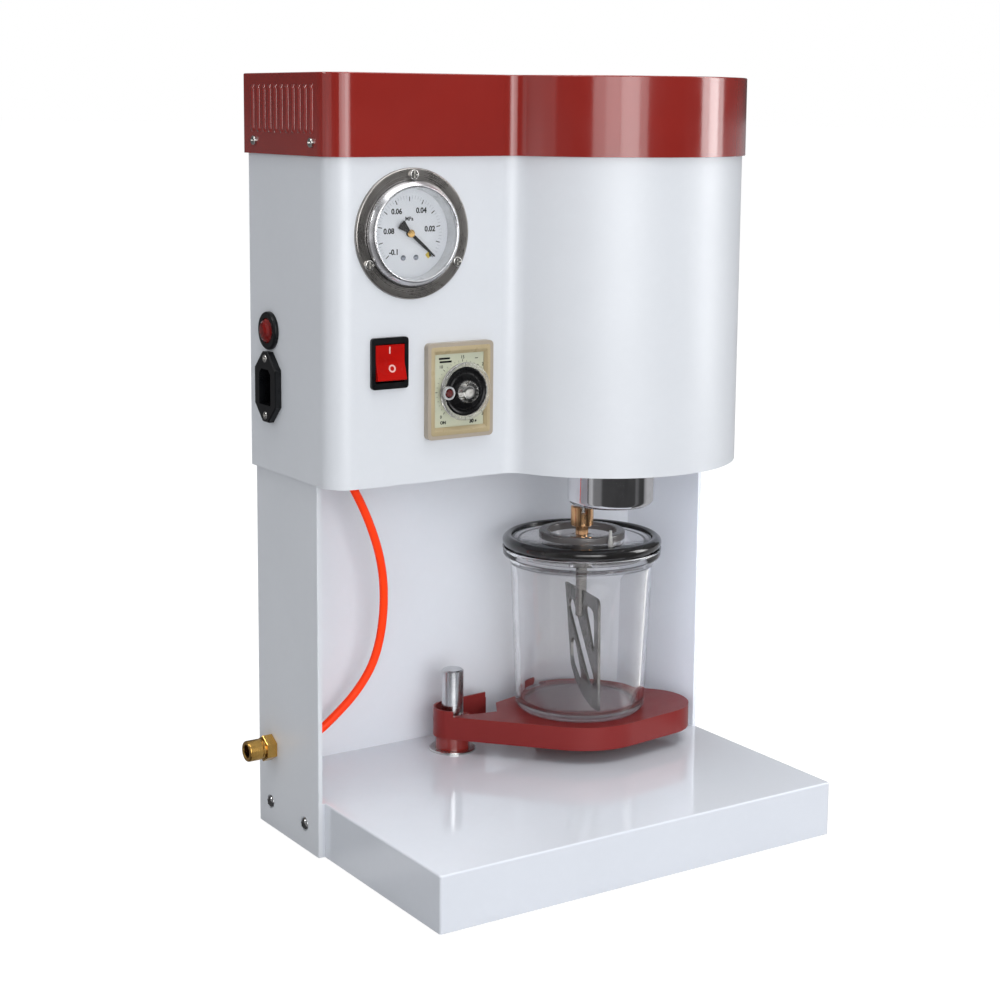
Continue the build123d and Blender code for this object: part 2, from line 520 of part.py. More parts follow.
for k in range(5):
    a = math.radians(72 * k + 20)
    gr = gr - cyl(6.5, 300, 330, CUP[0] + 19.5 * math.cos(a), CUP[1] + 19.5 * math.sin(a))
save("spindle_gear", gr)

gp = prism([(182, -50), (190, -58), (262, -58), (270, -50), (270, 48), (262, 56), (190, 56), (182, 48)], 300, 306)
gp = cut(gp, cyl(11, 290, 310, *CUP), cyl(SHAFT_R + 0.05, 290, 310, mx, my))
save("gear_plate", gp)
pil = [cyl(4, FLOOR_Z1, 300, x, y) for x in (190, 263) for y in (-49, 47)]
save("gear_pillars", Compound(children=pil))
brg = cyl(11, 300, 306, *CUP) - cyl(SPINDLE_R + 0.04, 290, 310, *CUP)
save("spindle_bearing", brg)
bush = cyl(7.0, 256, 263, *CUP) - cyl(SPINDLE_R + 0.04, 250, 270, *CUP)
save("spindle_bush", bush)

# arm direction in plan
ax_, ay_ = CUP[0] - POST[0], CUP[1] - POST[1]
al = math.hypot(ax_, ay_)
ax_, ay_ = ax_ / al, ay_ / al
fx_, fy_ = ay_, -ax_                       # toward the operator, square to the arm
AR = al
aw = lambda u, w: (POST[0] + u * ax_ + w * fx_, POST[1] + u * ay_ + w * fy_)
slot_deg = math.degrees(math.atan2(fy_, fx_))


def bar(cx, cy, length, width, z0, z1, deg):
    return Pos(cx, cy, (z0 + z1) / 2) * (Rot(0, 0, deg) * Box(length, width, z1 - z0))


spn = cyl(SPINDLE_R, 222, 323, *CUP) + cyl(7.0, 216.6, 238, *CUP) + cyl(6.4, 251, 255.8, *CUP)
tng = bar(CUP[0], CUP[1], 20, 3.0, 211.6, 217.0, slot_deg) & cyl(5.2, 205, 220, *CUP)
spn = spn + tng
save("spindle", spn)

# ------------------------------------------------------------------ paddle
cp = cyl(COUP_R, COUP_Z0, COUP_TOP, *CUP)
cp = chamfer(edges_z(cp, COUP_Z0), 0.8)
cp = chamfer(edges_z(cp, COUP_TOP), 0.5)
cp = cp + cyl(4.7, NECK_Z0, COUP_Z0 + 0.5, *CUP)
cp = cp - bar(CUP[0], CUP[1], 40, SLOT_W, SLOT_Z, COUP_TOP + 1, slot_deg) - cyl(3.0, NECK_Z0 - 1, 208, *CUP)
save("paddle_coupling", cp)

BL_DIR = math.degrees(math.atan2(-0.972, -0.232))
SHAFT_Z0 = 134.0
BLT = 2.0
shf = cyl(SHAFT_R, SHAFT_Z0, NECK_Z0, *CUP) + cyl(3.0, NECK_Z0, 208, *CUP)
shf = chamfer(edges_z(shf, SHAFT_Z0), 0.8)
shf = shf - bar(CUP[0], CUP[1], 30, BLT, SHAFT_Z0 - 1, 154.0, BL_DIR)
save("paddle_shaft", shf)

def stad(p, q, w):
    """Rounded slot cutter in the (w, z) plane of the blade."""
    L = math.hypot(q[0] - p[0], q[1] - p[1])
    a = math.degrees(math.atan2(q[1] - p[1], q[0] - p[0]))
    c = ((p[0] + q[0]) / 2, (p[1] + q[1]) / 2)
    s = Box(L, 8, w) + Pos(L / 2, 0, 0) * (Rot(90, 0, 0) * Cylinder(w / 2, 8)) + Pos(-L / 2, 0, 0) * (Rot(90, 0, 0) * Cylinder(w / 2, 8))
    return Pos(c[0], 0, c[1]) * (Rot(0, -a, 0) * s)


blade = yprism([(-29.5, 154.0), (30.5, 154.0), (33.0, 152.8), (34.3, 150.0), (36.0, 71.5), (24.0, 72.0), (8.0, 76.0), (-6.0, 83.0), (-15.5, 93.0), (-18.0, 103.0), (-23.5, 128.0)], -BLT / 2, BLT / 2)
win_b = [(10.0, 141.5), (11.2, 144.2), (14.0, 145.4), (22.0, 144.6), (25.6, 142.8), (27.0, 139.0), (28.4, 118.0), (27.6, 114.4), (25.8, 113.6), (24.2, 115.2)]
win_c = [(-10.2, 114.6), (-13.6, 114.0), (-16.0, 109.5), (-15.4, 99.5), (-11.5, 94.0), (-1.0, 86.2), (2.4, 86.2), (4.4, 89.0), (4.0, 93.0), (-7.0, 112.2)]
blade = cut(blade, stad((-15.5, 137.0), (22.0, 93.0), 12.4), yprism(win_b, -5, 5), yprism(win_c, -5, 5))
blade = Pos(CUP[0], CUP[1], 0) * (Rot(0, 0, BL_DIR) * blade)
save("paddle_blade", blade)

# ------------------------------------------------------------------ cup and lid
CB = PLATE_TOP + 0.3
prof = Polyline((0, CB), (44.7, CB), (47.5, CB + 2.8), (51.8, 171.0), (53.2, 176.0), (57.0, 180.0), (58.0, 182.0), (58.0, 187.0),
                (48.0, 187.0), (48.0, 178.0), (47.8, 170.0), (44.0, CB + 6.5), (41.4, CB + 3.8), (0, CB + 3.8), close=True)
cup = revolve(Plane.XZ * make_face(prof), axis=Axis.Z)
cup = Pos(CUP[0], CUP[1], 0) * cup
save("cup", cup)
lid = cyl(51.5, 187.0, 193.5, *CUP) + cyl(46.0, 181.0, 187.0, *CUP) + (cyl(31.3, 193.5, 198.8, *CUP) - cyl(25.0, 193.5, 200, *CUP))
lid = fillet([e for e in edges_z(lid, 198.8)], 0.8)
NIP = (CUP[0] + 0.6, CUP[1] - 38.0)
NIP = (CUP[0] + 0.6, CUP[1] - 34.2)
lid = cut(lid, cyl(6.0, 170, 210, *CUP), cyl(1.6, 186, 200, *NIP))
save("cup_lid", lid)
gk = cyl(58.0, 187.0, 195.0, *CUP)
gk = fillet(edges_z(gk, 195.0), 3.6)
gk = fillet(edges_z(gk, 187.0), 1.2)
gk = gk - cyl(51.5, 180, 200, *CUP)
save("lid_gasket", gk)
bs = cyl(6.0, 181.0, 193.5, *CUP) + cyl(9.0, 193.5, 194.5, *CUP) - cyl(SHAFT_R + 0.05, 170, 200, *CUP)
save("lid_bush", bs)
nip = Pos(NIP[0], NIP[1], 198.7) * Cone(1.7, 0.95, 10.4) + cyl(1.6, 187.5, 194, *NIP) - cyl(0.6, 180, 210, *NIP)
save("lid_nipple", nip)

# ------------------------------------------------------------------ swing arm


def arm_face(dr, z):
    """Leaf-shaped outline around the post, the cup seat and the far end."""
    cs_ = [(0.0, R_SMALL + dr), (AR, R_BIG + dr), (TIP_U, R_TIP + dr)]

    def tan_pts(a, b, sgn):
        d = b[0] - a[0]
        s = (a[1] - b[1]) / d
        c = math.sqrt(1 - s * s)
        n = (s, sgn * c)
        return (a[0] + a[1] * n[0], a[1] * n[1]), (b[0] + b[1] * n[0], b[1] * n[1])

    f1, f2 = tan_pts(cs_[0], cs_[1], 1)
    f3, f4 = tan_pts(cs_[1], cs_[2], 1)
    r1, r2 = tan_pts(cs_[0], cs_[1], -1)
    r3, r4 = tan_pts(cs_[1], cs_[2], -1)

    def P(p):
        q = aw(*p)
        return (q[0], q[1], z)

    def mid(c, a, b):
        m = ((a[0] + b[0]) / 2 - c[0], (a[1] + b[1]) / 2)
        L = math.hypot(*m)
        return (c[0] + c[1] * m[0] / L, c[1] * m[1] / L)

    lines = [Line(P(f1), P(f2)), ThreePointArc(P(f2), P(mid(cs_[1], f2, f3)), P(f3)), Line(P(f3), P(f4)),
             ThreePointArc(P(f4), P((cs_[2][0] + cs_[2][1], 0.0)), P(r4)), Line(P(r4), P(r3)),
             ThreePointArc(P(r3), P(mid(cs_[1], r3, r2)), P(r2)), Line(P(r2), P(r1)),
             ThreePointArc(P(r1), P((-cs_[0][1], 0.0)), P(f1))]
    return make_face(Wire(lines))


def uvprism(pts, z0, z1):
    return prism([aw(*p) for p in pts], z0, z1)


full = lambda dr, z0, z1: extrude(arm_face(dr, z0), amount=z1 - z0, dir=(0, 0, 1))
ring = full(0, STRIP_Z0, STRIP_HI) - full(-STRIP_T, STRIP_Z0 - 1, STRIP_HI + 1)
ring = ring - uvprism([(30, -90), (30, 90), (300, 90), (300, -90)], PLATE_TOP, 90)       # high rim only at the post end
wedge_pts = [(-2.0, 5.0), (31, 5.0), (31, 60), (-2.0, 60)]
ring = ring - uvprism(wedge_pts, PLATE_TOP, 90)
ring = ring - uvprism([(30.5, -12), (74, -12), (74, -70), (30.5, -70)], 40, 90)           # gap behind the post
notch = [(-30, 11.2), (5.7, 11.2), (32, 6.0), (35.4, -15.1), (80, -50), (80, -90), (-30, -90)]
plate = full(-STRIP_T, PLATE_TOP - 2.0, PLATE_TOP) - uvprism(notch, 40, 90)
sl = cyl(SLEEVE_R, BASE_TOP + 1.7, 63.0, *POST) - cyl(POST_R + 0.05, 30, 80, *POST)
save("arm_sleeve", sl)
# cup stop behind the cup seat
st_in, st_out = 52.6, 54.4
lip = cyl(st_out, PLATE_TOP - 1.0, PLATE_TOP + 9.0, *CUP) - cyl(st_in, 60, 90, *CUP)
base_a = math.degrees(math.atan2(ay_, ax_))
wp = [(CUP[0], CUP[1])]
for k in range(9):
    a = math.radians(base_a + 180 - 58 + 16 * k / 8)
    wp.append((CUP[0] + 80 * math.cos(a), CUP[1] + 80 * math.sin(a)))
lip = lip & prism(wp, 60, 90)
arm = plate + ring + lip
save("arm_tray", arm)
print("arm length", round(AR, 2), "motor", [round(v, 2) for v in MOTOR], "ratio", Z_PINION / Z_GEAR, "slot deg", round(slot_deg, 2))
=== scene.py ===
import json
import math
import random

import bmesh
import bpy
from mathutils import Matrix, Vector


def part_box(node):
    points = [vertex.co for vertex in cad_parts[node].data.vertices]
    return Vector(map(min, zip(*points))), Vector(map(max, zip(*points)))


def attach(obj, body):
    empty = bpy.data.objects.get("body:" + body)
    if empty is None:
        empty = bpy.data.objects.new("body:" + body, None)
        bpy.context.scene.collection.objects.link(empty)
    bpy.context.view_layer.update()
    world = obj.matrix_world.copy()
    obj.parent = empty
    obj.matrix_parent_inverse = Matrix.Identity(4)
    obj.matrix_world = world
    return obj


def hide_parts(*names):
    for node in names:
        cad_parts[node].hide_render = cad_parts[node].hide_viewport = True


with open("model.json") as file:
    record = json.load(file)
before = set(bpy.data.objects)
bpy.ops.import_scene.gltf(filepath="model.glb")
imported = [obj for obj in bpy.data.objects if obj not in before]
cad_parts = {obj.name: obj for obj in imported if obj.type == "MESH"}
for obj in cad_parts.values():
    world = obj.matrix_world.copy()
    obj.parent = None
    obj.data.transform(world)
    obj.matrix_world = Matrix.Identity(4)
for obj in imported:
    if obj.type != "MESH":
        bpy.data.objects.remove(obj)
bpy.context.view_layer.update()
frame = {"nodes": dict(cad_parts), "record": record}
N = frame["nodes"]
random.seed(7)

# ------------------------------------------------------------------ drawing frame (mm) to row frame (m)
OX, OY = 155.35, -28.4


def V(x, y, z):
    return Vector(((x - OX) / 1000.0, (y - OY) / 1000.0, z / 1000.0))


XL, YR, YF = -2.7, 90.0, -28.0
GAUGE = (55.5, 421.5)
ROCK = (38.2, 338.3)
TIMER = (90.6, 317.4)
DIAL = (93.2, 316.6)
LAMP = (60.5, 352.9)
INLET = (60.0, 314.8)
CUP = (227.0, 17.0)
POST = (138.5, 52.5)
COL_W = 324.0

# studio: the room seen by glossy surfaces, upright soft boxes (azimuth, width in degrees, radiance) and fills for matt
# surfaces only
ROOM_TOP, ROOM_FRONT, ROOM_BACK = 0.30, 0.06, 0.09
STRIPS = [
    ("box_far_left", -127.5, 10.0, 2.2),
    ("box_left", -117.0, 11.0, 3.2),
    ("box_mid", -103.5, 15.0, 4.6),
    ("box_mid_edge", -92.5, 6.0, 2.2),
    ("box_right_low", -38.5, 7.0, 5.0),
    ("box_right", -29.0, 11.0, 7.4),
    ("box_right_edge", -20.0, 6.0, 3.0),
    ("box_side", 178.0, 40.0, 0.45),
]
FILL_SKY = 0.46          # even light on matt surfaces
FILLS = [                # azimuth, elevation, distance m, size m, radiance: light only for matt shading
    ("fill_front", -99.0, 4.0, 2.8, 1.9, 3.45),
    ("fill_right", -40.0, 25.0, 2.6, 1.4, 0.10),
    ("fill_back", 90.0, 35.0, 2.6, 1.6, 1.4),
    ("fill_left", 170.0, 25.0, 2.8, 1.4, 0.62),
]
OVERHEAD = 31.0

# ------------------------------------------------------------------ camera
YAW, PITCH, ROLL = math.radians(33.31), math.radians(8.57), math.radians(0.48)
d = Vector((math.sin(YAW) * math.cos(PITCH), math.cos(YAW) * math.cos(PITCH), -math.sin(PITCH)))
rt = Vector((math.cos(YAW), -math.sin(YAW), 0.0))
up = rt.cross(d)
cx = rt * math.cos(ROLL) + up * math.sin(ROLL)
cy = up * math.cos(ROLL) - rt * math.sin(ROLL)
cam_data = bpy.data.cameras.new("camera")
cam_data.sensor_width = 36.0
cam_data.lens = 70.49
cam_data.shift_y = -0.1
cam_data.clip_end = 50
cam = bpy.data.objects.new("camera", cam_data)
bpy.context.scene.collection.objects.link(cam)
m = Matrix((cx, cy, -d)).transposed().to_4x4()
m.translation = V(-592.46, -1119.63, 504.32)
cam.matrix_world = m
bpy.context.scene.camera = cam

# ------------------------------------------------------------------ node helpers


class NT:
    """Small builder for one material's nodes."""

    def __init__(self, name):
        self.m = bpy.data.materials.new(name)
        self.m.use_nodes = True
        self.t = self.m.node_tree
        self.t.nodes.clear()
        self.out = self.t.nodes.new("ShaderNodeOutputMaterial")
        self.b = self.t.nodes.new("ShaderNodeBsdfPrincipled")
        self.t.links.new(self.b.outputs[0], self.out.inputs[0])
        self.tc = self.t.nodes.new("ShaderNodeTexCoord")

    def n(self, kind, **kw):
        x = self.t.nodes.new(kind)
        for k, v in kw.items():
            setattr(x, k, v)
        return x

    def link(self, a, b):
        self.t.links.new(a, b)

    def set(self, **kw):
        for k, v in kw.items():
            self.b.inputs[k.replace("_", " ")].default_value = v

    def coords(self, scale=(1, 1, 1), rot=(0, 0, 0), loc=(0, 0, 0)):
        mp = self.n("ShaderNodeMapping")
        self.link(self.tc.outputs["Object"], mp.inputs["Vector"])
        mp.inputs["Scale"].default_value = scale
        mp.inputs["Rotation"].default_value = rot
        mp.inputs["Location"].default_value = loc
        return mp.outputs["Vector"]

    def noise(self, scale, detail=4.0, rough=0.55, vec=None, dist=0.0):
        x = self.n("ShaderNodeTexNoise")
        x.inputs["Scale"].default_value = scale
        x.inputs["Detail"].default_value = detail
        x.inputs["Roughness"].default_value = rough
        x.inputs["Distortion"].default_value = dist
        self.link(vec if vec is not None else self.tc.outputs["Object"], x.inputs["Vector"])
        return x.outputs["Fac"]

    def ramp(self, fac, stops):
        x = self.n("ShaderNodeValToRGB")
        el = x.color_ramp.elements
        while len(el) < len(stops):
            el.new(0.5)
        for e, (p, c) in zip(el, stops):
            e.position = p
            e.color = (*c, 1) if len(c) == 3 else c
        self.link(fac, x.inputs["Fac"])
        return x.outputs["Color"]

    def remap(self, fac, a, b, lo=0.0, hi=1.0):
        x = self.n("ShaderNodeMapRange")
        x.inputs["From Min"].default_value = lo
        x.inputs["From Max"].default_value = hi
        x.inputs["To Min"].default_value = a
        x.inputs["To Max"].default_value = b
        self.link(fac, x.inputs["Value"])
        return x.outputs["Result"]

    def math(self, op, a, b=None, clamp=False):
        x = self.n("ShaderNodeMath", operation=op, use_clamp=clamp)
        for i, v in enumerate((a, b)):
            if v is None:
                continue
            if isinstance(v, (int, float)):
                x.inputs[i].default_value = v
            else:
                self.link(v, x.inputs[i])
        return x.outputs[0]

    def mix(self, fac, a, b):
        x = self.n("ShaderNodeMix", data_type="RGBA")
        for s, v in ((x.inputs[0], fac), (x.inputs[6], a), (x.inputs[7], b)):
            if isinstance(v, (int, float)):
                s.default_value = v
            elif isinstance(v, tuple):
                s.default_value = (*v, 1) if len(v) == 3 else v
            else:
                self.link(v, s)
        return x.outputs[2]

    def bump(self, height, strength, dist=0.001, prev=None):
        x = self.n("ShaderNodeBump")
        x.inputs["Strength"].default_value = strength
        x.inputs["Distance"].default_value = dist
        self.link(height, x.inputs["Height"])
        if prev is not None:
            self.link(prev, x.inputs["Normal"])
        self.link(x.outputs["Normal"], self.b.inputs["Normal"])
        return x.outputs["Normal"]

    def xyz(self):
        x = self.n("ShaderNodeSeparateXYZ")
        self.link(self.tc.outputs["Object"], x.inputs[0])
        return x.outputs[0], x.outputs[1], x.outputs[2]


def enamel(name, c, dark, rough=(0.22, 0.34), peel=0.05, coat=0.35, speck=0.0, spec=0.5):
    """Sprayed and baked enamel with orange peel, faint grime and a few dust nibs."""
    k = NT(name)
    cloud = k.noise(9.0, 5.0, 0.6)
    col = k.ramp(cloud, [(0.30, dark), (0.62, c)])
    fine = k.noise(160.0, 3.0, 0.6)
    col = k.mix(k.remap(fine, 0.0, 0.10, 0.5, 0.8), col, tuple(min(1.0, q * 1.12) for q in c))
    nib = k.n("ShaderNodeTexVoronoi", feature="F1")
    nib.inputs["Scale"].default_value = 90.0
    k.link(k.tc.outputs["Object"], nib.inputs["Vector"])
    nibm = k.math("LESS_THAN", nib.outputs["Distance"], 0.03)
    if speck:
        col = k.mix(k.math("MULTIPLY", nibm, speck), col, tuple(q * 0.45 for q in c))
    k.link(col, k.b.inputs["Base Color"])
    k.link(k.remap(k.noise(22.0, 6.0, 0.65), rough[0], rough[1], 0.35, 0.7), k.b.inputs["Roughness"])
    k.set(Coat_Weight=coat, Coat_Roughness=0.08, IOR=1.5, Specular_IOR_Level=spec)
    n1 = k.bump(k.noise(420.0, 2.0, 0.5), peel, 0.0004)
    k.bump(k.noise(60.0, 2.0, 0.5), peel * 0.8, 0.0008, n1)
    return k.m


def turned(name, c, c2, rough=(0.22, 0.42), axis="Z", centre=(0, 0, 0), freq=1500.0, strength=0.10, metal=1.0):
    """Metal turned on a lathe: fine rings around the given axis, smudges, and a little tarnish."""
    k = NT(name)
    ox, oy, oz = k.xyz()
    along = {"X": ox, "Y": oy, "Z": oz}[axis]
    w = k.n("ShaderNodeTexNoise", noise_dimensions="1D")
    w.inputs["Scale"].default_value = freq
    w.inputs["Detail"].default_value = 3.0
    k.link(along, w.inputs["W"])
    ring = w.outputs["Fac"]
    smudge = k.noise(70.0, 6.0, 0.65)
    k.link(k.mix(k.remap(smudge, 0.0, 1.0, 0.38, 0.70), c, c2), k.b.inputs["Base Color"])
    r = k.math("ADD", k.remap(ring, -0.06, 0.06, 0.3, 0.7), k.remap(smudge, rough[0], rough[1], 0.35, 0.7))
    k.link(r, k.b.inputs["Roughness"])
    k.set(Metallic=metal)
    k.bump(ring, strength, 0.0003)
    return k.m


def rolled(name, c, c2, rough=(0.25, 0.5), scale=(6.0, 900.0, 900.0), strength=0.06, metal=1.0, rot=(0, 0, 0)):
    """Rolled or ground sheet metal with straight grain, blotches and hairline scratches."""
    k = NT(name)
    grain = k.noise(1.0, 3.0, 0.6, k.coords(scale, rot))
    blot = k.noise(45.0, 6.0, 0.7)
    scr = k.noise(1.0, 2.0, 0.5, k.coords((scale[0] * 2, scale[1] * 0.35, scale[2] * 0.35), (0.3, 0.5, 0.9)))
    scm = k.math("GREATER_THAN", scr, 0.70)
    col = k.mix(k.remap(blot, 0.0, 1.0, 0.35, 0.7), c, c2)
    col = k.mix(k.math("MULTIPLY", scm, 0.35), col, tuple(min(1, q * 1.5) for q in c))
    k.link(col, k.b.inputs["Base Color"])
    k.link(k.math("ADD", k.remap(grain, -0.05, 0.05, 0.3, 0.7), k.remap(blot, rough[0], rough[1], 0.35, 0.7)), k.b.inputs["Roughness"])
    k.set(Metallic=metal)
    k.bump(grain, strength, 0.0003)
    return k.m


def mirror_plate(name, c, c2, rough=(0.04, 0.11)):
    """Bright plated metal with fingerprints, fine wiping marks and slight waviness."""
    k = NT(name)
    sm = k.noise(38.0, 7.0, 0.7)
    wipe = k.noise(1.0, 3.0, 0.6, k.coords((60.0, 60.0, 900.0)))
    k.link(k.mix(k.remap(sm, 0.0, 1.0, 0.42, 0.72), c, c2), k.b.inputs["Base Color"])
    k.link(k.math("ADD", k.remap(wipe, -0.015, 0.02, 0.3, 0.7), k.remap(sm, rough[0], rough[1], 0.4, 0.7)), k.b.inputs["Roughness"])
    k.set(Metallic=1.0)
    n1 = k.bump(k.noise(14.0, 2.0, 0.5), 0.05, 0.002)
    k.bump(wipe, 0.02, 0.0002, n1)
    return k.m


def moulded(name, c, c2, rough=(0.35, 0.5), grain=900.0, strength=0.12, spec=0.5, coat=0.0):
    """Moulded plastic or rubber with a fine spark-eroded grain and handling wear."""
    k = NT(name)
    cloud = k.noise(60.0, 5.0, 0.6)
    k.link(k.mix(k.remap(cloud, 0.0, 1.0, 0.35, 0.7), c, c2), k.b.inputs["Base Color"])
    k.link(k.remap(k.noise(120.0, 5.0, 0.6), rough[0], rough[1], 0.35, 0.7), k.b.inputs["Roughness"])
    k.set(Specular_IOR_Level=spec, Coat_Weight=coat)
    k.bump(k.noise(grain, 2.0, 0.5), strength, 0.0002)
    return k.m


def ring_brushed(name, c, c2, centre=GAUGE, rough=(0.24, 0.38)):
    """Steel ring polished round its own centre: fine concentric lines and soft random blotches."""
    k = NT(name)
    sub = k.n("ShaderNodeVectorMath", operation="SUBTRACT")
    k.link(k.tc.outputs["Object"], sub.inputs[0])
    sub.inputs[1].default_value = V(centre[0], OY, centre[1])
    mul = k.n("ShaderNodeVectorMath", operation="MULTIPLY")
    k.link(sub.outputs[0], mul.inputs[0])
    mul.inputs[1].default_value = (1, 0, 1)
    ln = k.n("ShaderNodeVectorMath", operation="LENGTH")
    k.link(mul.outputs[0], ln.inputs[0])
    w = k.n("ShaderNodeTexNoise", noise_dimensions="1D")
    w.inputs["Scale"].default_value = 2600.0
    w.inputs["Detail"].default_value = 3.0
    k.link(ln.outputs["Value"], w.inputs["W"])
    ring = w.outputs["Fac"]
    smudge = k.noise(60.0, 6.0, 0.65)
    col = k.mix(k.remap(smudge, 0.0, 1.0, 0.35, 0.7), c, c2)
    col = k.mix(k.remap(ring, 0.0, 0.35, 0.45, 0.7), col, tuple(q * 1.9 for q in c))
    k.link(col, k.b.inputs["Base Color"])
    k.link(k.math("ADD", k.remap(ring, -0.05, 0.05, 0.3, 0.7), k.remap(smudge, rough[0], rough[1], 0.35, 0.7)), k.b.inputs["Roughness"])
    k.set(Metallic=1.0)
    k.bump(ring, 0.10, 0.0003)
    return k.m


def clear(name, c, rough=(0.01, 0.05), ior=1.49, scuff=0.25, trans=1.0):
    """Clear moulded plastic or glass with scuffs, wiping haze and a slight flow ripple."""
    k = NT(name)
    haze = k.noise(30.0, 7.0, 0.7)
    scr = k.noise(1.0, 2.0, 0.5, k.coords((30.0, 30.0, 1400.0), (0.2, 0.1, 0.4)))
    sm = k.math("MULTIPLY", k.math("GREATER_THAN", scr, 0.68), scuff)
    k.link(k.mix(k.remap(haze, 0.0, 1.0, 0.4, 0.75), c, tuple(q * 0.97 for q in c)), k.b.inputs["Base Color"])
    k.link(k.math("ADD", sm, k.remap(haze, rough[0], rough[1], 0.45, 0.75)), k.b.inputs["Roughness"])
    k.set(Transmission_Weight=trans, IOR=ior)
    k.bump(k.noise(25.0, 2.0, 0.5), 0.03, 0.001)
    return k.m


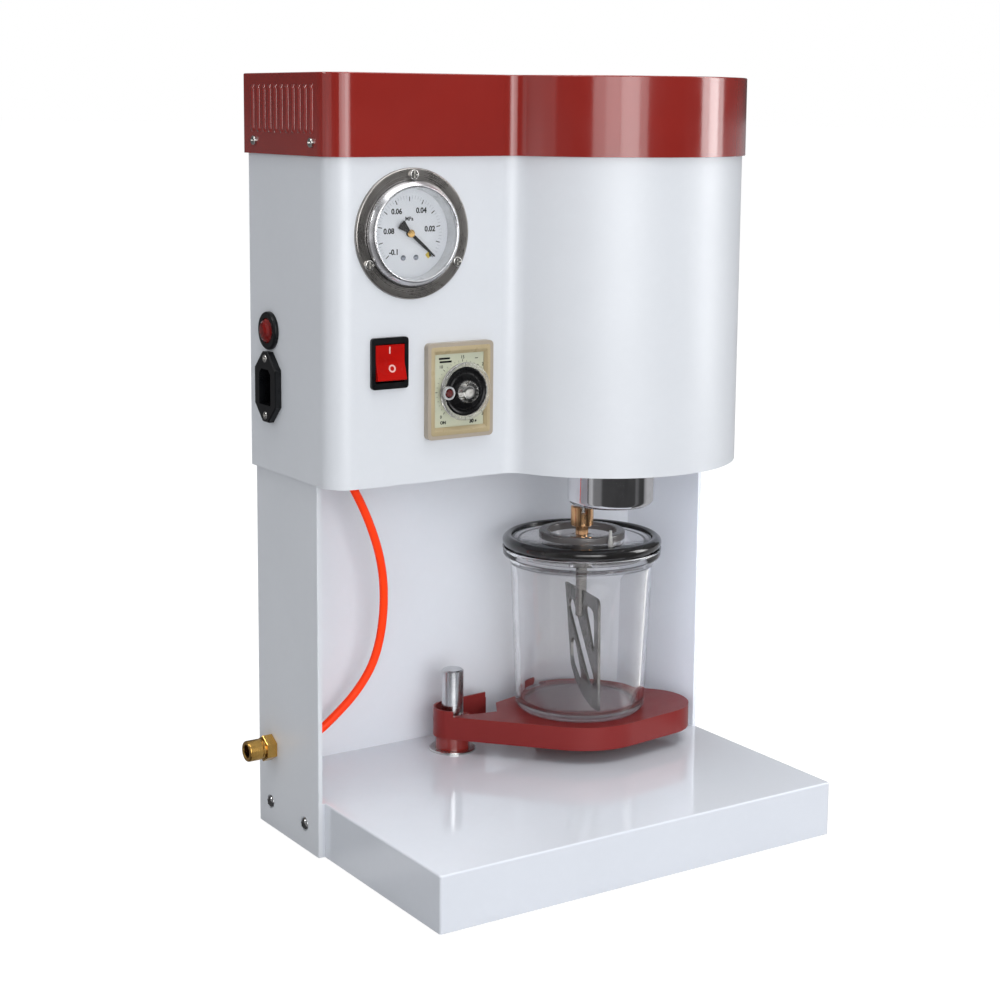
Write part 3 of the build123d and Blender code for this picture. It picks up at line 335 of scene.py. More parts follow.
M = {
    "white": enamel("white_enamel", (0.775, 0.79, 0.82), (0.755, 0.77, 0.80), (0.34, 0.44), 0.012, 0.0),
    "white_side": enamel("white_enamel_panels", (0.775, 0.79, 0.82), (0.75, 0.765, 0.795), (0.30, 0.42), 0.012, 0.0),
    "red": enamel("red_enamel", (0.300, 0.020, 0.014), (0.262, 0.017, 0.012), (0.12, 0.20), 0.05, 0.6),
    "red_arm": enamel("red_enamel_arm", (0.262, 0.0260, 0.0245), (0.236, 0.0235, 0.0215), (0.30, 0.40), 0.006, 0.0, 0.0, 0.22),
    "zinc": rolled("zinc_sheet", (0.62, 0.63, 0.64), (0.50, 0.51, 0.53), (0.3, 0.5), (80.0, 80.0, 80.0), 0.04),
    "rubber": moulded("black_rubber", (0.012, 0.012, 0.013), (0.022, 0.022, 0.024), (0.28, 0.42), 700.0, 0.05),
    "steel": turned("turned_steel", (0.62, 0.62, 0.61), (0.50, 0.50, 0.49), (0.18, 0.3), freq=3600.0, strength=0.015),
    "steel_y": turned("turned_steel_y", (0.66, 0.66, 0.65), (0.52, 0.52, 0.51), (0.2, 0.32), "Y", freq=3600.0, strength=0.015),
    "blade": rolled("ground_blade_steel", (0.27, 0.262, 0.255), (0.13, 0.126, 0.122), (0.16, 0.30), (900.0, 900.0, 12.0), 0.03),
    "screw": turned("nickel_screws", (0.70, 0.69, 0.67), (0.52, 0.51, 0.49), (0.16, 0.3), "Y", freq=900.0, strength=0.03),
    "screw_dark": mirror_plate("bright_nickel_screws", (0.42, 0.42, 0.43), (0.26, 0.26, 0.27), (0.05, 0.09)),
    # near-black slab colour for the screws' cross recesses: painted shade
    "screw_cross": moulded("painted_shade_screw_recess", (0.010, 0.010, 0.011), (0.02, 0.02, 0.021), (0.5, 0.6), 900.0, 0.02),
    "chrome": mirror_plate("chrome_plate", (0.70, 0.70, 0.715), (0.58, 0.58, 0.595), (0.05, 0.10)),
    "brass": turned("turned_brass", (0.78, 0.50, 0.17), (0.55, 0.33, 0.09), (0.14, 0.28), "Z", freq=3200.0, strength=0.015),
    "brass_x": turned("turned_brass_x", (0.74, 0.45, 0.13), (0.52, 0.29, 0.07), (0.16, 0.28), "X", freq=3200.0, strength=0.015),
    "black": moulded("black_plastic", (0.0035, 0.004, 0.005), (0.007, 0.0075, 0.009), (0.26, 0.38), 1100.0, 0.04, 0.24),
    "cream": moulded("cream_plastic", (0.60, 0.55, 0.39), (0.54, 0.49, 0.34), (0.30, 0.42), 1000.0, 0.06),
    "cup": clear("clear_cup", (0.95, 0.947, 0.952), (0.0, 0.03), 1.46, 0.12),
    # darker, reddish copy of the cup's clear plastic for its foot: painted shade
    "cup_painted_shade_foot": clear("clear_cup_painted_shade_foot", (0.52, 0.40, 0.42), (0.14, 0.24), 1.42, 0.1, 0.92),
    "lid": clear("clear_lid", (0.93, 0.915, 0.92), (0.02, 0.08), 1.46, 0.1),
    "glass": clear("gauge_glass", (0.97, 0.98, 0.98), (0.0, 0.02), 1.45, 0.05),
    "tube": moulded("red_tube", (1.0, 0.050, 0.006), (0.97, 0.044, 0.005), (0.30, 0.42), 500.0, 0.02, 0.12, 0.0),
    "rocker": moulded("rocker_red", (0.50, 0.007, 0.0045), (0.42, 0.005, 0.0035), (0.20, 0.30), 800.0, 0.02, 0.08, 0.0),
    "print_white": moulded("white_ink", (0.80, 0.80, 0.78), (0.72, 0.72, 0.70), (0.45, 0.6), 900.0, 0.02),
    "print_black": moulded("black_ink", (0.010, 0.010, 0.011), (0.02, 0.02, 0.021), (0.45, 0.6), 900.0, 0.02),
    "flange": ring_brushed("flange_dark_steel", (0.40, 0.382, 0.365), (0.28, 0.268, 0.256)),
    "bezel": mirror_plate("bezel_satin_chrome", (0.78, 0.78, 0.80), (0.66, 0.66, 0.68), (0.24, 0.32)),
    "ink_bold": moulded("black_ink_bold", (0.003, 0.003, 0.004), (0.006, 0.006, 0.007), (0.5, 0.65), 900.0, 0.02, 0.2),
    "brass_y": turned("turned_brass_y", (0.80, 0.50, 0.18), (0.58, 0.34, 0.10), (0.2, 0.34), "Y", freq=1300.0),
    "satin": moulded("satin_ring_paint", (0.66, 0.67, 0.69), (0.58, 0.59, 0.61), (0.22, 0.36), 700.0, 0.02, 0.5, 0.2),
    "blue_steel": turned("blued_screw_steel", (0.34, 0.36, 0.41), (0.22, 0.235, 0.27), (0.2, 0.34), "Y", freq=900.0, strength=0.02),
    "print_grey": moulded("grey_ink", (0.30, 0.32, 0.36), (0.36, 0.38, 0.42), (0.45, 0.6), 900.0, 0.02),
    "white_base": enamel("white_enamel_base", (0.76, 0.78, 0.825), (0.74, 0.76, 0.805), (0.07, 0.12), 0.010, 0.3),
    "shaft": turned("paddle_shaft_steel", (0.26, 0.25, 0.24), (0.16, 0.155, 0.15), (0.2, 0.34), "Z", freq=3200.0, strength=0.015),
    "copper": turned("turned_copper_brass", (0.86, 0.52, 0.28), (0.62, 0.33, 0.14), (0.14, 0.28), "Z", freq=3200.0, strength=0.015),
    "timer_frame": moulded("timer_frame_beige", (0.44, 0.375, 0.30), (0.40, 0.34, 0.268), (0.30, 0.42), 1000.0, 0.05),
    "timer_rim": moulded("timer_rim_buff", (0.50, 0.40, 0.235), (0.44, 0.35, 0.20), (0.26, 0.38), 1000.0, 0.05),
    "post": turned("post_bright_steel", (0.60, 0.60, 0.61), (0.48, 0.48, 0.49), (0.16, 0.26), "Z", freq=4000.0, strength=0.012),
    "lid_boss": clear("lid_boss_smoke", (0.25, 0.235, 0.23), (0.16, 0.26), 1.46, 0.1, 0.45),
    "print_pink": moulded("rocker_legend_ink", (0.84, 0.50, 0.47), (0.78, 0.44, 0.41), (0.4, 0.55), 900.0, 0.02),
    "yellow": moulded("yellow_ink", (0.75, 0.55, 0.06), (0.68, 0.48, 0.05), (0.45, 0.6), 900.0, 0.02),
    "timer_face": moulded("timer_face_ink", (0.55, 0.57, 0.44), (0.60, 0.60, 0.44), (0.35, 0.45), 900.0, 0.03),
    "timer_clear": clear("timer_clear_plastic", (0.93, 0.93, 0.92), (0.02, 0.08), 1.42, 0.1),
    "skirt": clear("timer_skirt_frosted", (0.84, 0.83, 0.80), (0.10, 0.20), 1.46, 0.1, 0.86),
    "gloss_black": moulded("gloss_black_plastic", (0.003, 0.003, 0.0035), (0.006, 0.006, 0.0065), (0.22, 0.34), 700.0, 0.03, 0.25, 0.0),
    "knob_core": turned("knob_core_foil", (0.66, 0.65, 0.63), (0.20, 0.19, 0.185), (0.12, 0.24), "Y", freq=1400.0, strength=0.05),
    "dark_red": moulded("dark_red_core", (0.14, 0.010, 0.010), (0.09, 0.006, 0.006), (0.2, 0.3), 700.0, 0.03),
    "lamp": clear("lamp_red_lens", (0.30, 0.011, 0.009), (0.02, 0.08), 1.49, 0.05, 0.6),
    "rubber_gloss": moulded("gasket_rubber", (0.013, 0.012, 0.012), (0.023, 0.021, 0.020), (0.10, 0.20), 500.0, 0.02, 0.5, 0.35),
    "nipple": moulded("nipple_plastic", (0.72, 0.71, 0.68), (0.62, 0.61, 0.58), (0.25, 0.4), 700.0, 0.04),
    "dial_white": moulded("dial_paint", (0.82, 0.835, 0.88), (0.79, 0.805, 0.85), (0.4, 0.5), 900.0, 0.02),
}

SLOT_MAT = {"white_enamel": "white", "red_enamel": "red", "zinc_sheet": "zinc", "black_rubber": "rubber", "steel": "steel", "chrome_plate": "chrome",
            "dark_brushed_steel": "steel_y", "clear_plastic": "cup", "dial_white": "dial_white", "black_plastic": "black", "red_plastic": "rocker",
            "cream_plastic": "cream", "brass": "brass", "red_tube": "tube"}
NODE_SLOT = {s["node"]: s["material_slot"] for s in frame["record"]["subparts"]}


def give(node, key):
    me = N[node].data
    me.materials.clear()
    me.materials.append(M[key])


for node in N:
    give(node, SLOT_MAT[NODE_SLOT[node]])
give("arm_tray", "red_arm")
for node in ("column_left_panel", "column_right_panel", "column_back_panel"):
    give(node, "white_side")
for node in ("case_screws", "gauge_screws", "inlet_screws"):
    give(node, "screw")
give("column_screws", "screw_dark")
give("paddle_blade", "blade")
give("gauge_pointer", "ink_bold")
give("base_shell", "white_base")
give("paddle_shaft", "shaft")
give("paddle_coupling", "copper")
give("post", "post")
give("timer_frame", "timer_frame")
give("timer_case", "timer_frame")
give("bulkhead_fitting", "brass_x")
give("gauge_glass", "glass")

# ------------------------------------------------------------------ mesh helpers


CLEAR_KEYS = ("cup", "lid", "lid_boss", "glass", "timer_clear", "skirt", "lamp")
N["gauge_glass"].visible_shadow = False


def put(name, me, key, body, replaces=(), angle=32):
    o = bpy.data.objects.new(name, me)
    bpy.context.scene.collection.objects.link(o)
    for k in ([key] if isinstance(key, str) else key):
        me.materials.append(M[k])
    if angle is not None:
        me.shade_smooth()
        me.set_sharp_from_angle(angle=math.radians(angle))
    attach(o, body)
    if replaces:
        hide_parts(*replaces)
    if key in CLEAR_KEYS:
        o.visible_shadow = False
    return o


def lathe_mesh(name, prof, centre, axis="Z", segs=144, a0=0.0, a1=360.0):
    """Surface of revolution from a closed (radius, height) profile in mm; axis Z up, Y toward the rear or X right."""
    full = abs(a1 - a0) >= 359.9
    n = segs if full else segs + 1
    bm = bmesh.new()
    rings = []
    for i in range(n):
        t = math.radians(a0 + (a1 - a0) * i / segs)
        ring = []
        for (r, h) in prof:
            c, s_ = r * math.cos(t), r * math.sin(t)
            if axis == "Z":
                p = V(centre[0] + c, centre[1] + s_, h)
            elif axis == "Y":
                p = V(centre[0] + c, h, centre[1] + s_)
            else:
                p = V(h, centre[0] + c, centre[1] + s_)
            ring.append(bm.verts.new(p))
        rings.append(ring)
    m_ = len(prof)
    for i in range(segs):
        A, B = rings[i], rings[(i + 1) % n]
        for j in range(m_):
            k = (j + 1) % m_
            try:
                bm.faces.new((A[j], A[k], B[k], B[j]))
            except ValueError:
                pass
    bmesh.ops.remove_doubles(bm, verts=bm.verts, dist=1e-7)
    bmesh.ops.dissolve_degenerate(bm, edges=bm.edges, dist=1e-8)
    bmesh.ops.recalc_face_normals(bm, faces=bm.faces)
    me = bpy.data.meshes.new(name)
    bm.to_mesh(me)
    bm.free()
    return me


def round_prof(pts, seg=4):
    """Rounds the corners of a closed (r, h) profile; a point is (r, h) or (r, h, radius)."""
    out = []
    n = len(pts)
    for i, p in enumerate(pts):
        if len(p) < 3 or p[2] <= 0:
            out.append((p[0], p[1]))
            continue
        a, b = Vector(pts[i - 1][:2]), Vector(pts[(i + 1) % n][:2])
        c = Vector(p[:2])
        u, w = (a - c), (b - c)
        t = min(p[2], 0.48 * u.length, 0.48 * w.length)
        p0, p1 = c + u.normalized() * t, c + w.normalized() * t
        for k in range(seg + 1):
            q = k / seg
            out.append(tuple((1 - q) ** 2 * p0 + 2 * q * (1 - q) * c + q * q * p1))
    return out


def prism_mesh(name, loop, h0, h1, plane="Y", bevel=0.0, seg=2):
    """Extruded outline in mm with rounded rims. plane Y: loop is (x, z); Z: (x, y); X: (y, z)."""
    bm = bmesh.new()

    def P(p, h):
        if plane == "Y":
            return V(p[0], h, p[1])
        if plane == "Z":
            return V(p[0], p[1], h)
        return V(h, p[0], p[1])
    A = [bm.verts.new(P(p, h0)) for p in loop]
    B = [bm.verts.new(P(p, h1)) for p in loop]
    n = len(loop)
    fa = bm.faces.new(A)
    fb = bm.faces.new(B)
    for i in range(n):
        bm.faces.new((A[i], A[(i + 1) % n], B[(i + 1) % n], B[i]))
    bmesh.ops.recalc_face_normals(bm, faces=bm.faces)
    if bevel:
        rim = [e for f in (fa, fb) for e in f.edges]
        bmesh.ops.bevel(bm, geom=rim, offset=bevel / 1000, segments=seg, profile=0.6, affect="EDGES")
    me = bpy.data.meshes.new(name)
    bm.to_mesh(me)
    bm.free()
    return me


def arc_pts(cx_, cy_, r, a0, a1, n):
    return [(cx_ + r * math.cos(math.radians(a0 + (a1 - a0) * k / n)), cy_ + r * math.sin(math.radians(a0 + (a1 - a0) * k / n))) for k in range(n + 1)]


def rrect(cx_, cz_, w, h, r, n=6):
    out = []
    for sx, sz, a in ((1, 1, 0), (-1, 1, 90), (-1, -1, 180), (1, -1, 270)):
        out += arc_pts(cx_ + sx * (w / 2 - r), cz_ + sz * (h / 2 - r), r, a, a + 90, n)
    return out


def join(name, meshes):
    bm = bmesh.new()
    for me in meshes:
        bm.from_mesh(me)
    out = bpy.data.meshes.new(name)
    bm.to_mesh(out)
    bm.free()
    return out


def text_mesh(txt, size, x, y, z, thick=0.06, face="front", align="CENTER", spacing=1.0, bold=0.0, stretch=1.0):
    """Printed characters as thin raised ink on a face looking toward the operator; all sizes in mm."""
    c = bpy.data.curves.new("t", "FONT")
    c.body = txt
    c.size = size / 1000
    c.align_x = align
    c.align_y = "CENTER"
    c.extrude = thick / 2000
    c.offset = bold / 1000
    c.space_character = spacing
    c.resolution_u = 3
    o = bpy.data.objects.new("t", c)
    bpy.context.scene.collection.objects.link(o)
    bpy.context.view_layer.update()
    me = bpy.data.meshes.new_from_object(o)
    bpy.data.objects.remove(o)
    me.transform(Matrix.Scale(stretch, 4, (1, 0, 0)))
    me.transform(Matrix.Rotation(math.radians(90), 4, "X"))
    me.transform(Matrix.Translation(V(x, y, z)))
    return me


def tick(cx_, cz_, r0, r1, ang, w, y0, y1):
    a = math.radians(ang)
    ux, uz = math.cos(a), math.sin(a)
    nx_, nz_ = -uz, ux
    loop = [(cx_ + r * ux + q * nx_, cz_ + r * uz + q * nz_) for r, q in ((r0, -w / 2), (r1, -w / 2), (r1, w / 2), (r0, w / 2))]
    return prism_mesh("tick", loop, y0, y1, "Y")


# ------------------------------------------------------------------ gauge
gx, gz = GAUGE
bez = round_prof([(34.4, YF - 2.0), (34.4, YF - 2.8, 0.4), (33.7, YF - 4.6, 1.2), (32.2, YF - 6.6, 1.4), (31.0, YF - 7.5, 0.7), (30.1, YF - 7.3, 0.5), (30.0, YF - 6.25), (31.1, YF - 6.22), (31.1, YF - 2.0)])
put("gauge_bezel_ring", lathe_mesh("gauge_bezel_ring", bez, GAUGE, "Y", 192), "bezel", "housing", ("gauge_bezel",))
flange = round_prof([(34.42, YF - 0.02), (42.5, YF - 0.02), (42.5, YF - 1.3, 0.35), (41.7, YF - 2.1, 0.5), (35.2, YF - 2.1, 0.4), (34.42, YF - 1.6, 0.2)])
put("gauge_flange_ring", lathe_mesh("gauge_flange_ring", flange, GAUGE, "Y", 192), "flange", "housing", ("gauge_flange",))
YD = YF + 3.3
wall = round_prof([(31.1, YF - 4.95), (30.1, YF - 4.95, 0.3), (28.9, YD - 0.02, 0.2), (31.1, YD - 0.02)])
put("gauge_inner_ring", lathe_mesh("gauge_inner_ring", wall, GAUGE, "Y", 192), "satin", "housing")
ink = []
fine_ink = []
for k in range(51):
    ang = -42.0 + 5.28 * k
    if k % 5 == 0:
        ink.append(tick(gx, gz, 20.8, 23.8, ang, 0.55, YD - 0.07, YD + 0.02))
    else:
        fine_ink.append(tick(gx, gz, 22.4, 24.6, ang, 0.16, YD - 0.06, YD + 0.02))
for txt, u, w in (("0", 15.6, -14.3), ("0.02", 15.4, 2.5), ("0.04", 8.9, 14.6), ("0.06", -9.6, 14.2), ("0.08", -15.4, 1.6), ("-0.1", -11.7, -12.0)):
    ink.append(text_mesh(txt, 4.9 if txt != "0" else 4.0, gx + u, YD - 0.03, gz + w, 0.08, bold=0.17, stretch=0.95))
ink.append(text_mesh("MPa", 3.6, gx - 0.2, YD - 0.03, gz + 9.4, 0.08, bold=0.08))
put("gauge_scale_print", join("gauge_scale_print", ink), "ink_bold", "housing", angle=None)
put("gauge_fine_print", join("gauge_fine_print", fine_ink), "print_grey", "housing", angle=None)
red_arc = arc_pts(gx, gz, 22.0, -50, -41, 8) + arc_pts(gx, gz, 18.6, -41, -50, 8)
put("gauge_zero_mark", prism_mesh("gauge_zero_mark", red_arc, YD - 0.05, YD + 0.02, "Y"), "yellow", "housing", angle=None)
hubp = round_prof([(0.0, YD - 3.4), (2.0, YD - 3.4, 0.5), (2.6, YD - 2.8, 0.3), (2.6, YD - 2.22), (0.0, YD - 2.22)])
put("pointer_hub", lathe_mesh("pointer_hub", hubp, GAUGE, "Y", 64), "brass_y", "pointer")

heads = []
for sgn in (-1, 1):
    hp = round_prof([(0.0, YD - 1.05), (1.3, YD - 1.05, 0.3), (1.75, YD - 0.6, 0.2), (1.8, YD - 0.03), (0.0, YD - 0.03)])
    heads.append(lathe_mesh("h", hp, (gx + sgn * 4.8, gz - 15.7), "Y", 40))
    heads.append(prism_mesh("slot", [(gx + sgn * 4.8 + q * math.cos(0.9) - w * math.sin(0.9), gz - 15.7 + q * math.sin(0.9) + w * math.cos(0.9)) for q, w in ((-1.5, -0.18), (1.5, -0.18), (1.5, 0.18), (-1.5, 0.18))], YD - 1.1, YD - 0.9, "Y"))
put("gauge_dial_screw_caps", join("gauge_dial_screw_caps", heads), "blue_steel", "housing")

# ------------------------------------------------------------------ rocker switch legends
PVY = YF + 1.0
tilt = math.radians(-8.0)


def rocker_face(u, v, lift):
    # local (dy, dz) on the front face; upper and lower halves are two shallow slopes
    k = (4.9 - 3.4) / (11.7 - 0.8)
    dy = -3.4 - max(0.0, abs(v) - 0.8) * k - lift
    y = PVY + dy * math.cos(tilt) - v * math.sin(tilt)
    z = ROCK[1] + dy * math.sin(tilt) + v * math.cos(tilt)
    return V(ROCK[0] + u, y, z)


def rocker_mark(loop_o, loop_i=None, lift=0.12):
    bm = bmesh.new()
    top = [bm.verts.new(rocker_face(u, v, lift)) for u, v in loop_o]
    bot = [bm.verts.new(rocker_face(u, v, -0.1)) for u, v in loop_o]
    n = len(loop_o)
    for i in range(n):
        bm.faces.new((top[i], top[(i + 1) % n], bot[(i + 1) % n], bot[i]))
    if loop_i is None:
        bm.faces.new(top)
    else:
        t2 = [bm.verts.new(rocker_face(u, v, lift)) for u, v in loop_i]
        b2 = [bm.verts.new(rocker_face(u, v, -0.1)) for u, v in loop_i]
        for i in range(n):
            j = (i + 1) % n
            bm.faces.new((top[i], top[j], t2[j], t2[i]))
            bm.faces.new((t2[i], t2[j], b2[j], b2[i]))
    bmesh.ops.recalc_face_normals(bm, faces=bm.faces)
    me = bpy.data.meshes.new("mark")
    bm.to_mesh(me)
    bm.free()
    return me


mk = [rocker_mark(rrect(-0.4, 8.1, 0.95, 4.5, 0.3, 3)),
      rocker_mark(arc_pts(0.8, -3.9, 2.55, 0, 360, 48)[:-1], arc_pts(0.8, -3.9, 1.55, 0, 360, 48)[:-1])]
put("rocker_legends", join("rocker_legends", mk), "print_pink", "rocker", angle=None)

# ------------------------------------------------------------------ timer
tx, tz = TIMER
dx, dz = DIAL
YT = YF - 2.6
ink = []
for k in range(31):
    ang = 225 - 9 * k
    big = k % 5 == 0
    ink.append(tick(dx, dz, 19.4, 21.0 if big else 20.3, ang, 0.42 if big else 0.22, YT - 0.06, YT + 0.02))
for txt, ang in (("0", 225), ("5", 180), ("10", 135), ("15", 90), ("20", 45), ("25", 0), ("30", -45)):
    a = math.radians(ang)
    rad = 23.6 if ang in (225, 135, 45, -45) else 22.4
    if ang in (180, 0):
        continue
    ink.append(text_mesh(txt, 3.0, dx + rad * math.cos(a), YT - 0.03, dz + rad * math.sin(a), 0.08, bold=0.05))
for x0, z0, w_, h_ in ((tx - 11.5, tz + 21.4, 8.6, 1.3), (tx - 10.5, tz + 19.2, 9.4, 1.3), (tx + 13.5, tz + 20.4, 2.4, 0.5), (tx + 13.6, tz + 15.6, 3.0, 1.0)):
    ink.append(prism_mesh("bar", rrect(x0, z0, w_, h_, 0.15, 2), YT - 0.06, YT + 0.02, "Y"))
ink.append(text_mesh("30 s", 3.4, tx + 11.0, YT - 0.03, tz - 21.8, 0.08, bold=0.2))
ink.append(text_mesh("ON", 2.8, tx - 12.4, YT - 0.03, tz - 21.4, 0.08, bold=0.15))
put("timer_scale_print", join("timer_scale_print", ink), "ink_bold", "housing", angle=None)
face_loop = rrect(tx, tz, 40.2, 50.8, 0.4, 3)
hole = arc_pts(dx, dz, 3.3, 0, 360, 48)
# printed face panel with its cut-out for the shaft
bm = bmesh.new()
o_loop = [bm.verts.new(V(p[0], YT - 0.02, p[1])) for p in face_loop]
i_loop = [bm.verts.new(V(p[0], YT - 0.02, p[1])) for p in hole[:-1]]
eds = [bm.edges.new((o_loop[i], o_loop[(i + 1) % len(o_loop)])) for i in range(len(o_loop))]
eds += [bm.edges.new((i_loop[i], i_loop[(i + 1) % len(i_loop)])) for i in range(len(i_loop))]
bmesh.ops.triangle_fill(bm, edges=eds, use_beauty=True)
bmesh.ops.recalc_face_normals(bm, faces=bm.faces)
me = bpy.data.meshes.new("timer_face_panel")
bm.to_mesh(me)
bm.free()
put("timer_face_panel", me, "timer_face", "housing", angle=None)

rim = round_prof([(16.5, YF - 5.55), (19.3, YF - 5.55, 0.3), (19.5, YF - 7.2, 0.5), (18.6, YF - 8.4, 0.9), (17.2, YF - 8.4, 0.3), (16.5, YF - 7.2, 0.3)], 5)
put("timer_dial_clear", lathe_mesh("timer_dial_clear", rim, DIAL, "Y", 192), "skirt", "timer_control", ("timer_dial",))
blk = round_prof([(3.0, YF - 3.2), (15.6, YF - 3.2, 0.2), (16.3, YF - 4.2, 0.4), (16.35, YF - 7.0, 0.4), (15.2, YF - 7.3, 0.3), (13.9, YF - 6.7, 0.2), (12.4, YF - 6.7, 0.2), (11.6, YF - 7.3, 0.3), (3.0, YF - 7.4)], 3)
put("timer_dial_insert", lathe_mesh("timer_dial_insert", blk, DIAL, "Y", 160), "gloss_black", "timer_control")
# stepped inner rim of the timer's own case, between the mounting frame and the printed face
rim_out = rrect(tx, tz, 42.2, 54.4, 1.2, 4)
rim_in = rrect(tx, tz, 38.2, 48.8, 0.6, 4)
rim_lap = rrect(tx, tz, 46.0, 58.8, 1.6, 4)
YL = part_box("timer_frame")[0][1] * 1000 + OY
bm = bmesh.new()
levels = [(rim_out, YF - 2.62), (rim_out, YL + 0.02), (rim_lap, YL + 0.02), (rim_lap, YL - 0.15), (rrect(tx, tz, 45.4, 58.2, 1.4, 4), YL - 0.3),
          (rrect(tx, tz, 41.2, 53.4, 0.9, 4), YL - 0.3), (rim_in, YF - 3.4), (rim_in, YF - 2.62)]
rows = [[bm.verts.new(V(q[0], yy, q[1])) for q in lp] for lp, yy in levels]
rows.append(rows[0])
for r0, r1 in zip(rows[:-1], rows[1:]):
    n_ = len(r0)
    for i in range(n_):
        bm.faces.new((r0[i], r0[(i + 1) % n_], r1[(i + 1) % n_], r1[i]))
bmesh.ops.recalc_face_normals(bm, faces=bm.faces)
me = bpy.data.meshes.new("timer_inner_rim")
bm.to_mesh(me)
bm.free()
put("timer_inner_rim", me, "timer_rim", "housing", angle=30)
ink = [tick(dx, dz, 17.1, 18.6 if k % 5 == 0 else 18.0, 9 * k, 0.3 if k % 5 == 0 else 0.18, YF - 5.52, YF - 5.44) for k in range(31) if not 17 <= k <= 23]
put("timer_dial_marks", join("timer_dial_marks", ink), "print_black", "timer_control", angle=None)
FX = dx - 14.6
fk1 = round_prof([(0.0, YF - 11.1), (3.2, YF - 11.2, 0.5), (4.5, YF - 10.4, 1.0), (4.6, YF - 7.7, 0.3), (0.0, YF - 7.7)], 5)
put("timer_finger_cap", lathe_mesh("timer_finger_cap", fk1, (FX, dz), "Y", 96), "timer_clear", "timer_control")
core = round_prof([(0.0, YF - 10.2), (2.3, YF - 10.2, 0.6), (2.9, YF - 8.4, 0.3), (2.9, YF - 7.72), (0.0, YF - 7.72)], 4)
fring = round_prof([(3.05, YF - 7.75), (4.2, YF - 7.75, 0.2), (4.1, YF - 10.0, 0.4), (3.05, YF - 10.0, 0.3)], 4)
put("timer_finger_ring", lathe_mesh("timer_finger_ring", fring, (FX, dz), "Y", 96), "satin", "timer_control")
put("timer_finger_core", lathe_mesh("timer_finger_core", core, (FX, dz), "Y", 64), "dark_red", "timer_control")

# fluted clear knob over a dark core
bm = bmesh.new()
prof = round_prof([(7.0, YF - 7.7), (7.5, YF - 8.6, 0.4), (7.2, YF - 12.2, 0.8), (5.9, YF - 13.4, 0.8), (4.3, YF - 12.9, 0.5), (0.0, YF - 12.6)], 4)
nseg = 216
prev = None
first = None
for i in range(nseg):
    t = 2 * math.pi * i / nseg
    flute = 0.5 + 0.5 * math.cos(18 * t)
    ring = []
    for (r, h) in prof:
        depth = 0.40 * flute * (1.0 if r > 5.3 and h > YF - 12.9 else 0.0)
        rr_ = r - depth
        ring.append(bm.verts.new(V(dx + rr_ * math.cos(t), h, dz + rr_ * math.sin(t))))
    if prev:
        for j in range(len(prof) - 1):
            bm.faces.new((prev[j], prev[j + 1], ring[j + 1], ring[j]))
    else:
        first = ring
    prev = ring
for j in range(len(prof) - 1):
    bm.faces.new((prev[j], prev[j + 1], first[j + 1], first[j]))
bottom = []
bm.verts.ensure_lookup_table()
L0 = len(prof)
base_ring = [bm.verts[i * L0] for i in range(nseg)]
bm.faces.new(base_ring)
bmesh.ops.remove_doubles(bm, verts=bm.verts, dist=1e-7)
bmesh.ops.dissolve_degenerate(bm, edges=bm.edges, dist=1e-8)
bmesh.ops.recalc_face_normals(bm, faces=bm.faces)
me = bpy.data.meshes.new("timer_knob_clear")
bm.to_mesh(me)
bm.free()
put("timer_knob_clear", me, "timer_clear", "timer_control", ("timer_knob",), 40)
core = round_prof([(0.0, YF - 11.6), (3.6, YF - 11.6, 0.8), (4.7, YF - 10.4, 0.5), (5.9, YF - 7.75, 0.3), (0.0, YF - 7.75)], 4)
put("timer_knob_core", lathe_mesh("timer_knob_core", core, DIAL, "Y", 96), "knob_core", "timer_control")

# ------------------------------------------------------------------ pilot lamp lens: faceted dome
ly, lz = LAMP
bm = bmesh.new()
rings = []
nf = 16
levels = [(8.5, XL - 1.6), (8.2, XL - 2.6), (7.3, XL - 4.1), (5.5, XL - 5.4), (3.2, XL - 6.2), (1.2, XL - 6.45)]
for li, (r, x) in enumerate(levels):
    n_ = 48 if li < 2 else nf
    ring = []
    for i in range(48):
        if li < 2:
            t = 2 * math.pi * i / 48
            rr_ = r
        else:
            q = i * nf / 48.0
            k0 = math.floor(q)
            off = 0.5 * (li % 2)
            t = 2 * math.pi * (k0 + off) / nf
            rr_ = r
        ring.append((ly + rr_ * math.cos(t), lz + rr_ * math.sin(t), x))
    rings.append([bm.verts.new(V(p[2], p[0], p[1])) for p in ring])
for a_, b_ in zip(rings[:-1], rings[1:]):
    for i in range(48):
        j = (i + 1) % 48
        bm.faces.new((a_[i], a_[j], b_[j], b_[i]))
bm.faces.new(rings[-1])
bm.faces.new(rings[0])
bmesh.ops.remove_doubles(bm, verts=bm.verts, dist=1e-6)
bmesh.ops.dissolve_degenerate(bm, edges=bm.edges, dist=1e-7)
bmesh.ops.recalc_face_normals(bm, faces=bm.faces)
me = bpy.data.meshes.new("lamp_lens_faceted")
bm.to_mesh(me)
bm.free()
put("lamp_lens_faceted", me, "lamp", "housing", ("lamp_lens",), 12)

